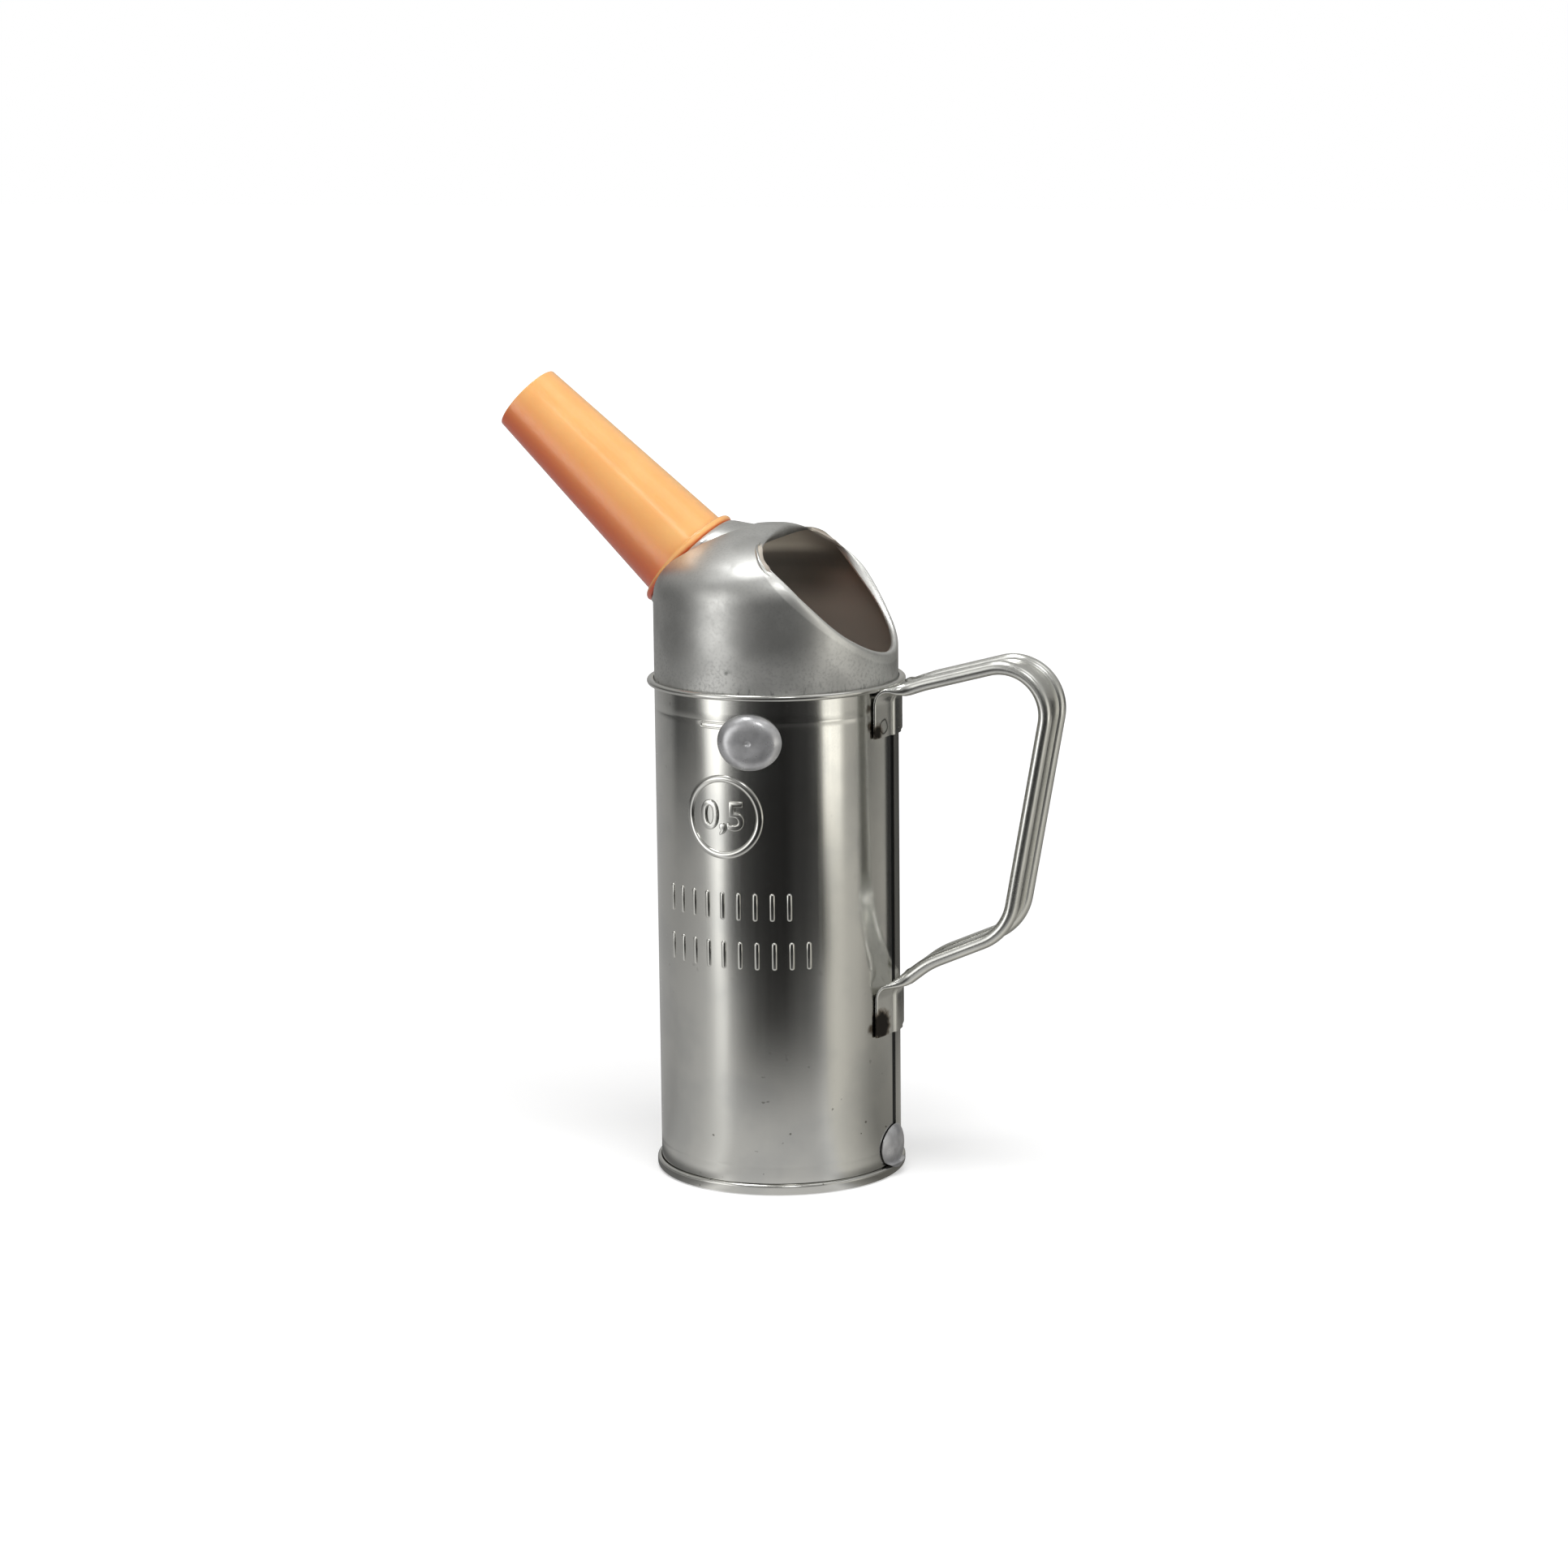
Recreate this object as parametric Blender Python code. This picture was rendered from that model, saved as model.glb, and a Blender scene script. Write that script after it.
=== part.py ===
"""Oil measuring jug for half a litre, as it would come apart on a bench.

A rolled tinplate tube with a lock seam stands in a seamed base. A drawn hood is clamped into
the tube's rolled rim. It has a filling mouth towards the handle and a neck towards the spout,
which pushes into the neck and pulls off along its own axis. A strap handle with rolled edges
and two solder seals sit on the tube's side.

Metres, +Z up. The tube's axis is the Z axis, the jug stands on z = 0, the handle points
along +X and the spout along -X.
"""

import math

import bmesh
import bpy
from mathutils import Matrix, Vector

MM = 0.001

# Clearance between pieces that touch, and the tinplate's thickness
GAP = 0.3 * MM
SHEET = 0.4 * MM

# Tube
TUBE_RADIUS = 35.0 * MM
RIM_HEIGHT = 143.5 * MM
RIM_REACH = 2.15 * MM
RIM_LEDGE = 0.75 * MM
SEAM_GROOVE_WIDTH = 1.2 * MM
SEAM_GROOVE_DEPTH = 0.2 * MM
SEAM_FOLD_WIDTH = 5.0 * MM
SEAM_FOLD_DEPTH = 0.7 * MM
SEAM_STEP = 0.25 * MM
SEAM_MARGIN = 1.0 * MM

# Base: how far its ring stands out from the tube, then its section
CHIME_REACH = 1.25 * MM
CHIME_HEIGHT = 3.2 * MM
CHIME_ROUND = 0.6 * MM
BASE_RECESS = 2.6 * MM
BASE_CORNER = 0.8 * MM

# Hood: a rise counts from the rim's height, an inset from the tube's outside
DOME_RISE = 44.6 * MM
DOME_CROWN = 55.0 * MM
DOME_KNUCKLE = 12.0 * MM
SKIRT_RISE = 4.5 * MM
RIDGE_OFFSET = 2.0 * MM
MOUTH_TOP_OFFSET = 2.3 * MM
MOUTH_TOP_RISE = 40.9 * MM
MOUTH_FOOT_INSET = 2.0 * MM
MOUTH_FOOT_RISE = 9.5 * MM
MOUTH_SIDE_INSET = 1.9 * MM
MOUTH_CENTRE_SHARE = 0.58
MOUTH_CORNER_POWER = 3.3
MOUTH_SIDE_SHARE = 0.68
BRIM_SIDE = 2.0 * MM
BRIM_TOP = 3.6 * MM
BRIM_RISE_SIDE = 1.3 * MM
BRIM_RISE_TOP = 2.2 * MM

# Spout and the hood's neck, both turned about the spout's axis
SPOUT_TILT = math.radians(42.4)
NECK_INSET = 9.7 * MM
NECK_RISE = 32.8 * MM
NECK_RADIUS = 16.3 * MM
NECK_COLLAR = 1.0 * MM
NECK_FLARE = math.radians(41.0)
NECK_CREASE = 0.5 * MM
FLANGE_RADIUS = 16.5 * MM
FLANGE_THICKNESS = 2.1 * MM
CONE_BASE_RADIUS = 14.3 * MM
CONE_TIP_RADIUS = 10.55 * MM
CONE_FILLET = 0.6 * MM
CONE_LENGTH = 65.8 * MM
SPOUT_WALL = 1.5 * MM
SPIGOT_LENGTH = 9.0 * MM
SPIGOT_TAPER = 0.4 * MM

# Handle: the centre line's corners with their radii, then its cross section. A reach counts from
# the tube's outside, a rise or a drop from the rim's height, a height from the standing surface.
STRAP_SHEET = 0.8 * MM
LUG_END_DROP = 14.2 * MM
LUG_BEND_DROP = 2.4 * MM
LUG_BEND_HEIGHT = 55.0 * MM
LUG_END_HEIGHT = 42.6 * MM
LUG_BEND_RADIUS = 3.4 * MM
SHOULDER_REACH = 11.5 * MM
SHOULDER_RISE = 1.4 * MM
SHOULDER_RADIUS = 30.0 * MM
BOW_REACH = 50.7 * MM
BOW_RISE = 11.9 * MM
BOW_RADIUS = 13.0 * MM
HEEL_REACH = 36.1 * MM
HEEL_HEIGHT = 74.9 * MM
HEEL_RADIUS = 15.0 * MM
ANKLE_REACH = 12.8 * MM
ANKLE_HEIGHT = 64.6 * MM
ANKLE_RADIUS = 25.0 * MM
BEAD_RADIUS = 2.0 * MM
GRIP_HALF_WIDTH = 9.0 * MM
LUG_HALF_WIDTH = 12.2 * MM
RIB_HEIGHT = 0.8 * MM
RIB_HALF_WIDTH = 2.6 * MM
BEAD_GROWTH = 6.0 * MM

# Solder seals
UPPER_SEAL_ANGLE = math.radians(-82.1)
UPPER_SEAL_DROP = 12.7 * MM
UPPER_SEAL_WIDTH = 18.2 * MM
UPPER_SEAL_TALL = 15.8 * MM
UPPER_SEAL_BULGE = 2.4 * MM
UPPER_SEAL_DIMPLE = 0.5 * MM
LOWER_SEAL_ANGLE = math.radians(-2.5)
LOWER_SEAL_HEIGHT = 8.4 * MM
LOWER_SEAL_WIDTH = 15.6 * MM
LOWER_SEAL_TALL = 12.4 * MM
LOWER_SEAL_BULGE = 1.7 * MM
SEAL_EDGE = 0.35 * MM
SEAL_FLATNESS = 2.6
DIMPLE_SHARE = 0.4

# Facets: counts of columns, rows and spans, and the turn or run between two points
COLUMNS = 48
HOOD_ROWS = 9
BRIM_ROWS = 4
SPOUT_COLUMNS = 40
SEAL_COLUMNS = 24
SEAL_ROWS = 5
WEB_SPANS = 8
BEAD_SPANS = 8
ARC_STEP = math.radians(22.5)
STRAP_STEP = math.radians(17.0)
STRAP_RUN = 12.0 * MM
SHARP_ANGLE = math.radians(40.0)

# Finest steps: points closer than this are one, and how lines are traced and crossings found
MERGE = 0.001 * MM
TRACE_STEP = math.radians(0.5)
HALVINGS = 40


def clear_scene():
    """Remove every object of the open file."""
    for obj in list(bpy.data.objects):
        bpy.data.objects.remove(obj, do_unlink=True)


def material(name, colour, roughness, metallic):
    """A plain Principled material, made once and shared by the pieces that name it."""
    mat = bpy.data.materials.get(name) or bpy.data.materials.new(name)
    mat.use_nodes = True
    shader = mat.node_tree.nodes["Principled BSDF"]
    shader.inputs["Base Color"].default_value = (*colour, 1.0)
    shader.inputs["Roughness"].default_value = roughness
    shader.inputs["Metallic"].default_value = metallic
    return mat


def bright_tinplate():
    """Rolled sheet of the tube and its base."""
    return material("bright_tinplate", (0.62, 0.62, 0.58), 0.22, 1.0)


def drawn_tinplate():
    """The hood's sheet, duller from the press."""
    return material("drawn_tinplate", (0.50, 0.51, 0.50), 0.38, 1.0)


def polished_strap():
    """The handle's bright strip."""
    return material("polished_strap", (0.66, 0.66, 0.62), 0.18, 1.0)


def orange_plastic():
    """The spout's glossy plastic."""
    return material("orange_plastic", (0.85, 0.30, 0.09), 0.35, 0.0)


def solder():
    """Grey cast drops of the two seals."""
    return material("solder", (0.36, 0.36, 0.37), 0.45, 1.0)


def new_object(name, bm, mat, matrix=None, parent=None):
    """Turn a bmesh into a smooth shaded object of its own."""
    bmesh.ops.remove_doubles(bm, verts=bm.verts, dist=MERGE)
    mesh = bpy.data.meshes.new(name)
    bm.to_mesh(mesh)
    bm.free()
    mesh.materials.append(mat)
    mesh.shade_smooth()
    mesh.set_sharp_from_angle(angle=SHARP_ANGLE)
    obj = bpy.data.objects.new(name, mesh)
    bpy.context.scene.collection.objects.link(obj)
    obj.parent = parent
    if matrix is not None:
        obj.matrix_world = matrix
    return obj


def arc(centre, radius, start, end):
    """Points of a round stretch in a profile's plane, both ends included."""
    count = max(1, round(abs(end - start) / ARC_STEP))
    turns = [start + (end - start) * i / count for i in range(count + 1)]
    return [(centre[0] + radius * math.cos(t), centre[1] + radius * math.sin(t)) for t in turns]


def closed_loft(rings):
    """Quads between closed rings of points, where the last ring meets the first again."""
    bm = bmesh.new()
    grid = [[bm.verts.new(p) for p in ring] for ring in rings]
    for i, ring in enumerate(grid):
        following = grid[(i + 1) % len(grid)]
        for j in range(len(ring)):
            k = (j + 1) % len(ring)
            bm.faces.new((ring[j], ring[k], following[k], following[j]))
    bmesh.ops.recalc_face_normals(bm, faces=bm.faces)
    return bm


def lathe(profile, columns):
    """Turn a closed profile of radius and height about the local Z axis."""
    bm = bmesh.new()
    verts = [bm.verts.new((radius, 0.0, height)) for radius, height in profile]
    edges = [bm.edges.new((a, b)) for a, b in zip(verts, verts[1:] + verts[:1])]
    bmesh.ops.spin(
        bm,
        geom=verts + edges,
        cent=(0.0, 0.0, 0.0),
        axis=(0.0, 0.0, 1.0),
        angle=2.0 * math.pi,
        steps=columns,
        use_merge=True,
    )
    bmesh.ops.remove_doubles(bm, verts=bm.verts, dist=MERGE)
    bmesh.ops.dissolve_degenerate(bm, edges=bm.edges, dist=MERGE)
    bmesh.ops.recalc_face_normals(bm, faces=bm.faces)
    return bm


def chime_radius():
    """Outer radius of the ring round the base."""
    return TUBE_RADIUS + CHIME_REACH


def dome_top():
    """Height of the hood's crown, before mouth and neck are drawn from it."""
    return RIM_HEIGHT + DOME_RISE


def skirt_ring():
    """Height at which the hood's straight skirt ends."""
    return RIM_HEIGHT + SKIRT_RISE


def mouth_side_radius():
    """Distance of the mouth's sides from the tube's axis."""
    return TUBE_RADIUS - MOUTH_SIDE_INSET


def rim_half_height():
    """Half the rolled rim: two layers of the tube round one of the hood."""
    return 1.5 * SHEET + GAP


def tube_foot():
    """Height of the tube's lower edge, inside the base's fold."""
    return SHEET + GAP


def seam_columns():
    """Angles of the tube's columns, with extra ones at the edges of the lock seam."""
    even = [2.0 * math.pi * i / COLUMNS for i in range(COLUMNS)]
    extra = []
    for half in (SEAM_GROOVE_WIDTH / 2.0, SEAM_FOLD_WIDTH / 2.0):
        for offset in (half, half + SEAM_STEP):
            extra += [offset / TUBE_RADIUS, -offset / TUBE_RADIUS]
    return sorted(even + [angle % (2.0 * math.pi) for angle in extra])


def tube_profile(angle):
    """The tube's wall and rolled rim at one angle, as radius and height."""
    signed = (angle + math.pi) % (2.0 * math.pi) - math.pi
    across = abs(signed) * TUBE_RADIUS
    groove = SEAM_GROOVE_DEPTH if across <= SEAM_GROOVE_WIDTH / 2.0 + MERGE else 0.0
    fold = SEAM_FOLD_DEPTH if across <= SEAM_FOLD_WIDTH / 2.0 + MERGE else 0.0
    inner = TUBE_RADIUS - SHEET
    half = rim_half_height()
    bead = (TUBE_RADIUS + RIM_REACH - half, RIM_HEIGHT)
    seam_low = CHIME_HEIGHT + SEAM_MARGIN
    seam_high = RIM_HEIGHT - half - SEAM_MARGIN
    quarter = math.pi / 2.0
    outside = [
        (TUBE_RADIUS, tube_foot()),
        (TUBE_RADIUS, seam_low),
        (TUBE_RADIUS - groove, seam_low + SEAM_STEP),
        (TUBE_RADIUS - groove, seam_high - SEAM_STEP),
        (TUBE_RADIUS, seam_high),
        (TUBE_RADIUS, RIM_HEIGHT - half),
    ]
    lip = TUBE_RADIUS + RIM_LEDGE
    rim = arc(bead, half, -quarter, quarter)
    rim += [(lip, RIM_HEIGHT + half), (lip, RIM_HEIGHT + half - SHEET)]
    rim += arc(bead, half - SHEET, quarter, -quarter)
    inside = [
        (inner, RIM_HEIGHT - half + SHEET),
        (inner, seam_high),
        (inner - fold, seam_high - SEAM_STEP),
        (inner - fold, seam_low + SEAM_STEP),
        (inner, seam_low),
        (inner, tube_foot()),
    ]
    return outside + rim + inside


def make_tube(parent):
    """Rolled tube with its lock seam and the rim that clamps the hood."""
    rings = []
    for angle in seam_columns():
        turn = (math.cos(angle), math.sin(angle))
        rings.append([(r * turn[0], r * turn[1], z) for r, z in tube_profile(angle)])
    return new_object("body_tube", closed_loft(rings), bright_tinplate(), parent=parent)


def make_base(parent):
    """Base plate, folded round the tube's lower edge into a standing ring."""
    inner = TUBE_RADIUS - SHEET - GAP
    wall = inner - SHEET
    quarter = math.pi / 2.0
    profile = [(0.0, BASE_RECESS)]
    profile += arc((wall - BASE_CORNER, BASE_RECESS - BASE_CORNER), BASE_CORNER, quarter, 0.0)
    profile += [(wall, CHIME_ROUND / 2.0), (wall + CHIME_ROUND / 2.0, 0.0)]
    profile += arc((chime_radius() - CHIME_ROUND, CHIME_ROUND), CHIME_ROUND, -quarter, 0.0)
    top = (chime_radius() - CHIME_ROUND, CHIME_HEIGHT - CHIME_ROUND)
    profile += arc(top, CHIME_ROUND, 0.0, quarter)
    profile += [
        (TUBE_RADIUS + GAP, CHIME_HEIGHT),
        (TUBE_RADIUS + GAP, SHEET),
        (inner, SHEET),
        (inner, BASE_RECESS + SHEET),
        (0.0, BASE_RECESS + SHEET),
    ]
    return new_object("base_plate", lathe(profile, COLUMNS), bright_tinplate(), parent=parent)


def dome_contact(point):
    """The nearest point of the hood's plain surface, and its outward direction there.

    The surface is a cylinder, a rounded shoulder and a flatter crown, all turned about Z.
    """
    shoulder_radius = TUBE_RADIUS - DOME_KNUCKLE
    crown_height = dome_top() - DOME_CROWN
    rise = math.sqrt((DOME_CROWN - DOME_KNUCKLE) ** 2 - shoulder_radius**2)
    shoulder_height = crown_height + rise
    across = math.hypot(point.x, point.y)
    around = Vector((point.x, point.y, 0.0)) / max(across, MERGE)
    if point.z <= shoulder_height:
        return around * TUBE_RADIUS + Vector((0.0, 0.0, point.z)), around
    crown = Vector((0.0, 0.0, crown_height))
    if across * rise < shoulder_radius * (point.z - crown_height):
        normal = (point - crown).normalized()
        return crown + normal * DOME_CROWN, normal
    shoulder = around * shoulder_radius + Vector((0.0, 0.0, shoulder_height))
    normal = (point - shoulder).normalized()
    return shoulder + normal * DOME_KNUCKLE, normal


def on_dome(point):
    """Move a point onto the hood's plain surface, without neck or mouth."""
    return dome_contact(point)[0]


def skirt_angle():
    """Angle at which the ridge between mouth and neck meets the skirt."""
    return math.acos(-RIDGE_OFFSET / TUBE_RADIUS)


def ridge_point(turn):
    """The ridge over the hood between mouth and neck, from turn 0 on the +Y side to pi."""
    rise = dome_top() - skirt_ring()
    guide = Vector((-RIDGE_OFFSET, TUBE_RADIUS * math.cos(turn), skirt_ring() + rise * math.sin(turn)))
    return on_dome(guide)


def skirt_point(angle):
    """A point on the hood's skirt, where the two lofts begin."""
    return Vector((TUBE_RADIUS * math.cos(angle), TUBE_RADIUS * math.sin(angle), skirt_ring()))


def mouth_top():
    """The middle of the mouth's upper edge."""
    return Vector((MOUTH_TOP_OFFSET, 0.0, RIM_HEIGHT + MOUTH_TOP_RISE))


def mouth_frame():
    """Centre of the mouth, its direction down the slope, and its outward normal."""
    top = mouth_top()
    foot = Vector((TUBE_RADIUS - MOUTH_FOOT_INSET, 0.0, RIM_HEIGHT + MOUTH_FOOT_RISE))
    down = (foot - top).normalized()
    normal = Vector((-down.z, 0.0, down.x))
    return top.lerp(foot, MOUTH_CENTRE_SHARE), down, normal


def mouth_edge(turn):
    """The mouth's edge: the skirt's curve below, cut off square at the top, corners rounded.

    The turn is 0 at the foot, a quarter turn on the +Y side and a half turn at the top.
    """
    centre, down, _ = mouth_frame()
    across, along = math.sin(turn), math.cos(turn)
    tilt = down.x
    # The slanted cut through a cylinder is an ellipse about the axis
    a = (tilt * along / mouth_side_radius()) ** 2 + (across / mouth_side_radius()) ** 2
    b = centre.x * tilt * along / mouth_side_radius()**2
    c = (centre.x / mouth_side_radius()) ** 2 - 1.0
    side = (-b + math.sqrt(b * b - a * c)) / a
    reach = side**-MOUTH_CORNER_POWER
    if along < 0.0:
        top_length = (centre - mouth_top()).length
        reach += (top_length / -along) ** -MOUTH_CORNER_POWER
    radius = reach ** (-1.0 / MOUTH_CORNER_POWER)
    return centre + down * (radius * along) + Vector((0.0, radius * across, 0.0))


def skirt_turn(angle):
    """Turn of the mouth's edge above a point of the skirt, leaning as little as it can."""
    centre, down, _ = mouth_frame()
    polar = angle * MOUTH_SIDE_SHARE
    across = mouth_side_radius() * math.sin(polar)
    return math.atan2(across, (mouth_side_radius() * math.cos(polar) - centre.x) / down.x)


def top_share(turn):
    """0 at the mouth's foot and sides, rising to 1 at its top."""
    return max(0.0, -math.cos(turn)) ** 2


def loft_starts():
    """Where the columns of a hood's loft begin: half on the skirt, half on the ridge.

    Yields each start with its share of the way: along the skirt from -1 to 1, or else
    over the ridge from 0 to 1 with None for the skirt.
    """
    quarter = COLUMNS // 4
    for i in range(-quarter, quarter):
        yield i / quarter, None
    for i in range(2 * quarter):
        yield None, i / (2 * quarter)


def brim_curve(turn):
    """Points round the mouth's brim, from the dome to the sheet's edge inside it."""
    edge = mouth_edge(turn)
    along = mouth_edge(turn + TRACE_STEP) - mouth_edge(turn - TRACE_STEP)
    normal = mouth_frame()[2]
    share = top_share(turn)
    width = BRIM_SIDE + (BRIM_TOP - BRIM_SIDE) * share
    rise = BRIM_RISE_SIDE + (BRIM_RISE_TOP - BRIM_RISE_SIDE) * share
    start, surface = dome_contact(edge + along.cross(normal).normalized() * width)
    tangent = (normal - surface * normal.dot(surface)).normalized()
    corner = start + tangent * (max((edge - start).dot(tangent), 0.0) + rise)
    shares = [i / BRIM_ROWS for i in range(BRIM_ROWS + 1)]
    return [start.lerp(corner, t).lerp(corner.lerp(edge, t), t) for t in shares]


def dome_rows(start, end):
    """Points over the dome from a start up to, and without, an end."""
    return [start] + [on_dome(start.lerp(end, i / HOOD_ROWS)) for i in range(1, HOOD_ROWS)]


def mouth_columns():
    """Point rows from the skirt and ridge over the dome and round the brim to the mouth's edge."""
    split = skirt_turn(skirt_angle())
    rows = []
    for side, over in loft_starts():
        if over is None:
            start = skirt_point(side * skirt_angle())
            turn = skirt_turn(side * skirt_angle())
        else:
            start = ridge_point(over * math.pi)
            turn = split + 2.0 * (math.pi - split) * over
        brim = brim_curve(turn)
        rows.append(dome_rows(start, brim[0]) + brim)
    return rows


def spout_frame():
    """Seat of the spout on the neck, its outward axis and the upward direction across it."""
    seat = Vector((NECK_INSET - TUBE_RADIUS, 0.0, RIM_HEIGHT + NECK_RISE))
    axis = Vector((-math.cos(SPOUT_TILT), 0.0, math.sin(SPOUT_TILT)))
    above = Vector((math.sin(SPOUT_TILT), 0.0, math.cos(SPOUT_TILT)))
    return seat, axis, above


def inside_dome(point):
    """True where a point is under the hood's plain surface."""
    nearest, normal = dome_contact(point)
    return (point - nearest).dot(normal) < 0.0


def neck_foot(direction, seat, axis):
    """Where the neck's flare runs into the dome, found by halving."""
    low, high = 0.0, 2.0 * NECK_RADIUS
    for _ in range(HALVINGS):
        middle = (low + high) / 2.0
        radius = NECK_RADIUS + middle * math.sin(NECK_FLARE)
        depth = NECK_COLLAR + middle * math.cos(NECK_FLARE)
        point = seat + direction * radius - axis * depth
        if inside_dome(point):
            high = middle
        else:
            low = middle
    return point - dome_contact(point)[1] * NECK_CREASE


def neck_columns():
    """Point rows from the skirt and ridge over the dome and up the flare to the neck's end."""
    seat, axis, above = spout_frame()
    rows = []
    for side, over in loft_starts():
        if over is None:
            start = skirt_point(math.pi - side * (math.pi - skirt_angle()))
            turn = side * math.pi / 2.0
        else:
            start = ridge_point(over * math.pi)
            turn = math.pi / 2.0 + over * math.pi
        direction = Vector((0.0, math.sin(turn), 0.0)) - above * math.cos(turn)
        collar = seat + direction * NECK_RADIUS
        foot = neck_foot(direction, seat, axis)
        rows.append(dome_rows(start, foot) + [foot, collar - axis * NECK_COLLAR, collar])
    return rows


def skirt_rows():
    """The skirt below the two lofts, with the flange that the tube's rim holds."""
    half = skirt_angle()
    steps = COLUMNS // 2
    angles = [-half + 2.0 * half * i / steps for i in range(steps)]
    angles += [half + 2.0 * (math.pi - half) * i / steps for i in range(steps)]
    top = RIM_HEIGHT + SHEET / 2.0
    corner = (TUBE_RADIUS + SHEET, top + SHEET)
    profile = [(TUBE_RADIUS + RIM_REACH - SHEET - 2.0 * GAP, top)]
    profile += arc(corner, SHEET, -math.pi / 2.0, -math.pi)
    profile.append((TUBE_RADIUS, skirt_ring()))
    return [[Vector((r * math.cos(a), r * math.sin(a), z)) for r, z in profile] for a in angles]


def add_strips(bm, rows):
    """Quads between neighbouring columns of points, the last one meeting the first."""
    grid = [[bm.verts.new(p) for p in row] for row in rows]
    for i, row in enumerate(grid):
        following = grid[(i + 1) % len(grid)]
        for j in range(len(row) - 1):
            bm.faces.new((row[j], row[j + 1], following[j + 1], following[j]))


def make_hood(parent):
    """Drawn hood with its mouth, its neck and the flange in the tube's rim."""
    bm = bmesh.new()
    for rows in (skirt_rows(), mouth_columns(), neck_columns()):
        add_strips(bm, rows)
    bmesh.ops.remove_doubles(bm, verts=bm.verts, dist=MERGE)
    bmesh.ops.recalc_face_normals(bm, faces=bm.faces)
    bmesh.ops.triangulate(bm, faces=bm.faces, quad_method="SHORT_EDGE")
    lowest = min(bm.faces, key=lambda face: abs(face.calc_center_median().z - skirt_ring()))
    if lowest.normal.dot(lowest.calc_center_median()) < 0.0:
        bmesh.ops.reverse_faces(bm, faces=bm.faces)
    hood = new_object("hood", bm, drawn_tinplate(), parent=parent)
    shell = hood.modifiers.new("sheet", "SOLIDIFY")
    shell.thickness = SHEET
    shell.offset = -1.0
    return hood


def spout_profile():
    """The spout's wall: spigot, flange, fillet, cone and bore, as radius and height."""
    spigot = NECK_RADIUS - SHEET - GAP
    quarter = math.pi / 2.0
    rounding = FLANGE_THICKNESS / 2.0
    cone_start = GAP + FLANGE_THICKNESS + CONE_FILLET
    cone_end = GAP + FLANGE_THICKNESS + CONE_LENGTH
    slope = (CONE_BASE_RADIUS - CONE_TIP_RADIUS) / CONE_LENGTH
    profile = [(spigot - SPIGOT_TAPER, -SPIGOT_LENGTH), (spigot, GAP)]
    profile += arc((FLANGE_RADIUS - rounding, GAP + rounding), rounding, -quarter, quarter)
    fillet = (CONE_BASE_RADIUS + CONE_FILLET, cone_start)
    profile += arc(fillet, CONE_FILLET, -quarter, -math.pi)[1:]
    profile += [(CONE_TIP_RADIUS, cone_end), (CONE_TIP_RADIUS - SPOUT_WALL, cone_end)]
    bore = CONE_BASE_RADIUS - SPOUT_WALL + slope * SPIGOT_LENGTH
    profile.append((min(bore, spigot - SPIGOT_TAPER - SPOUT_WALL / 2.0), -SPIGOT_LENGTH))
    return profile


def make_spout(parent):
    """Plastic spout. Its origin is its seat on the neck, with its axis along local Z."""
    seat, axis, above = spout_frame()
    across = above.cross(axis)
    turn = Matrix((above, -across, axis)).transposed().to_4x4()
    placed = Matrix.Translation(seat) @ turn
    return new_object("spout", lathe(spout_profile(), SPOUT_COLUMNS), orange_plastic(), placed, parent)


def strap_corners():
    """Corners of the handle's centre line in the XZ plane, each with its rounding."""
    lug = TUBE_RADIUS + GAP + STRAP_SHEET / 2.0
    return [
        (lug, RIM_HEIGHT - LUG_END_DROP, 0.0),
        (lug, RIM_HEIGHT - LUG_BEND_DROP, LUG_BEND_RADIUS),
        (TUBE_RADIUS + SHOULDER_REACH, RIM_HEIGHT + SHOULDER_RISE, SHOULDER_RADIUS),
        (TUBE_RADIUS + BOW_REACH, RIM_HEIGHT + BOW_RISE, BOW_RADIUS),
        (TUBE_RADIUS + HEEL_REACH, HEEL_HEIGHT, HEEL_RADIUS),
        (TUBE_RADIUS + ANKLE_REACH, ANKLE_HEIGHT, ANKLE_RADIUS),
        (lug, LUG_BEND_HEIGHT, LUG_BEND_RADIUS),
        (lug, LUG_END_HEIGHT, 0.0),
    ]


def strap_path():
    """Sample the centre line: points with their directions, round at the corners."""
    corners = [(Vector((x, 0.0, z)), radius) for x, z, radius in strap_corners()]
    path = [(corners[0][0], (corners[1][0] - corners[0][0]).normalized())]
    for (before, _), (corner, radius), (after, _) in zip(corners, corners[1:], corners[2:]):
        come = (corner - before).normalized()
        go = (after - corner).normalized()
        turn = come.angle(go)
        inset = radius * math.tan(turn / 2.0)
        side = (go - come * come.dot(go)).normalized()
        centre = corner - come * inset + side * radius
        count = max(2, round(turn / STRAP_STEP))
        for i in range(count + 1):
            a = turn * i / count
            point = centre - side * (radius * math.cos(a)) + come * (radius * math.sin(a))
            path.append((point, come * math.cos(a) + side * math.sin(a)))
    path.append((corners[-1][0], (corners[-1][0] - corners[-2][0]).normalized()))
    return path


def refine(path, longest):
    """Add points on the straight stretches of a path that are longer than a length."""
    fine = [path[0]]
    for (start, _), (end, direction) in zip(path, path[1:]):
        count = max(1, math.ceil((end - start).length / longest))
        for i in range(1, count):
            fine.append((start.lerp(end, i / count), (end - start).normalized()))
        fine.append((end, direction))
    return fine


def smooth_step(value):
    """0 below 0, 1 above 1, and an even S between."""
    clamped = min(max(value, 0.0), 1.0)
    return clamped * clamped * (3.0 - 2.0 * clamped)


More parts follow.
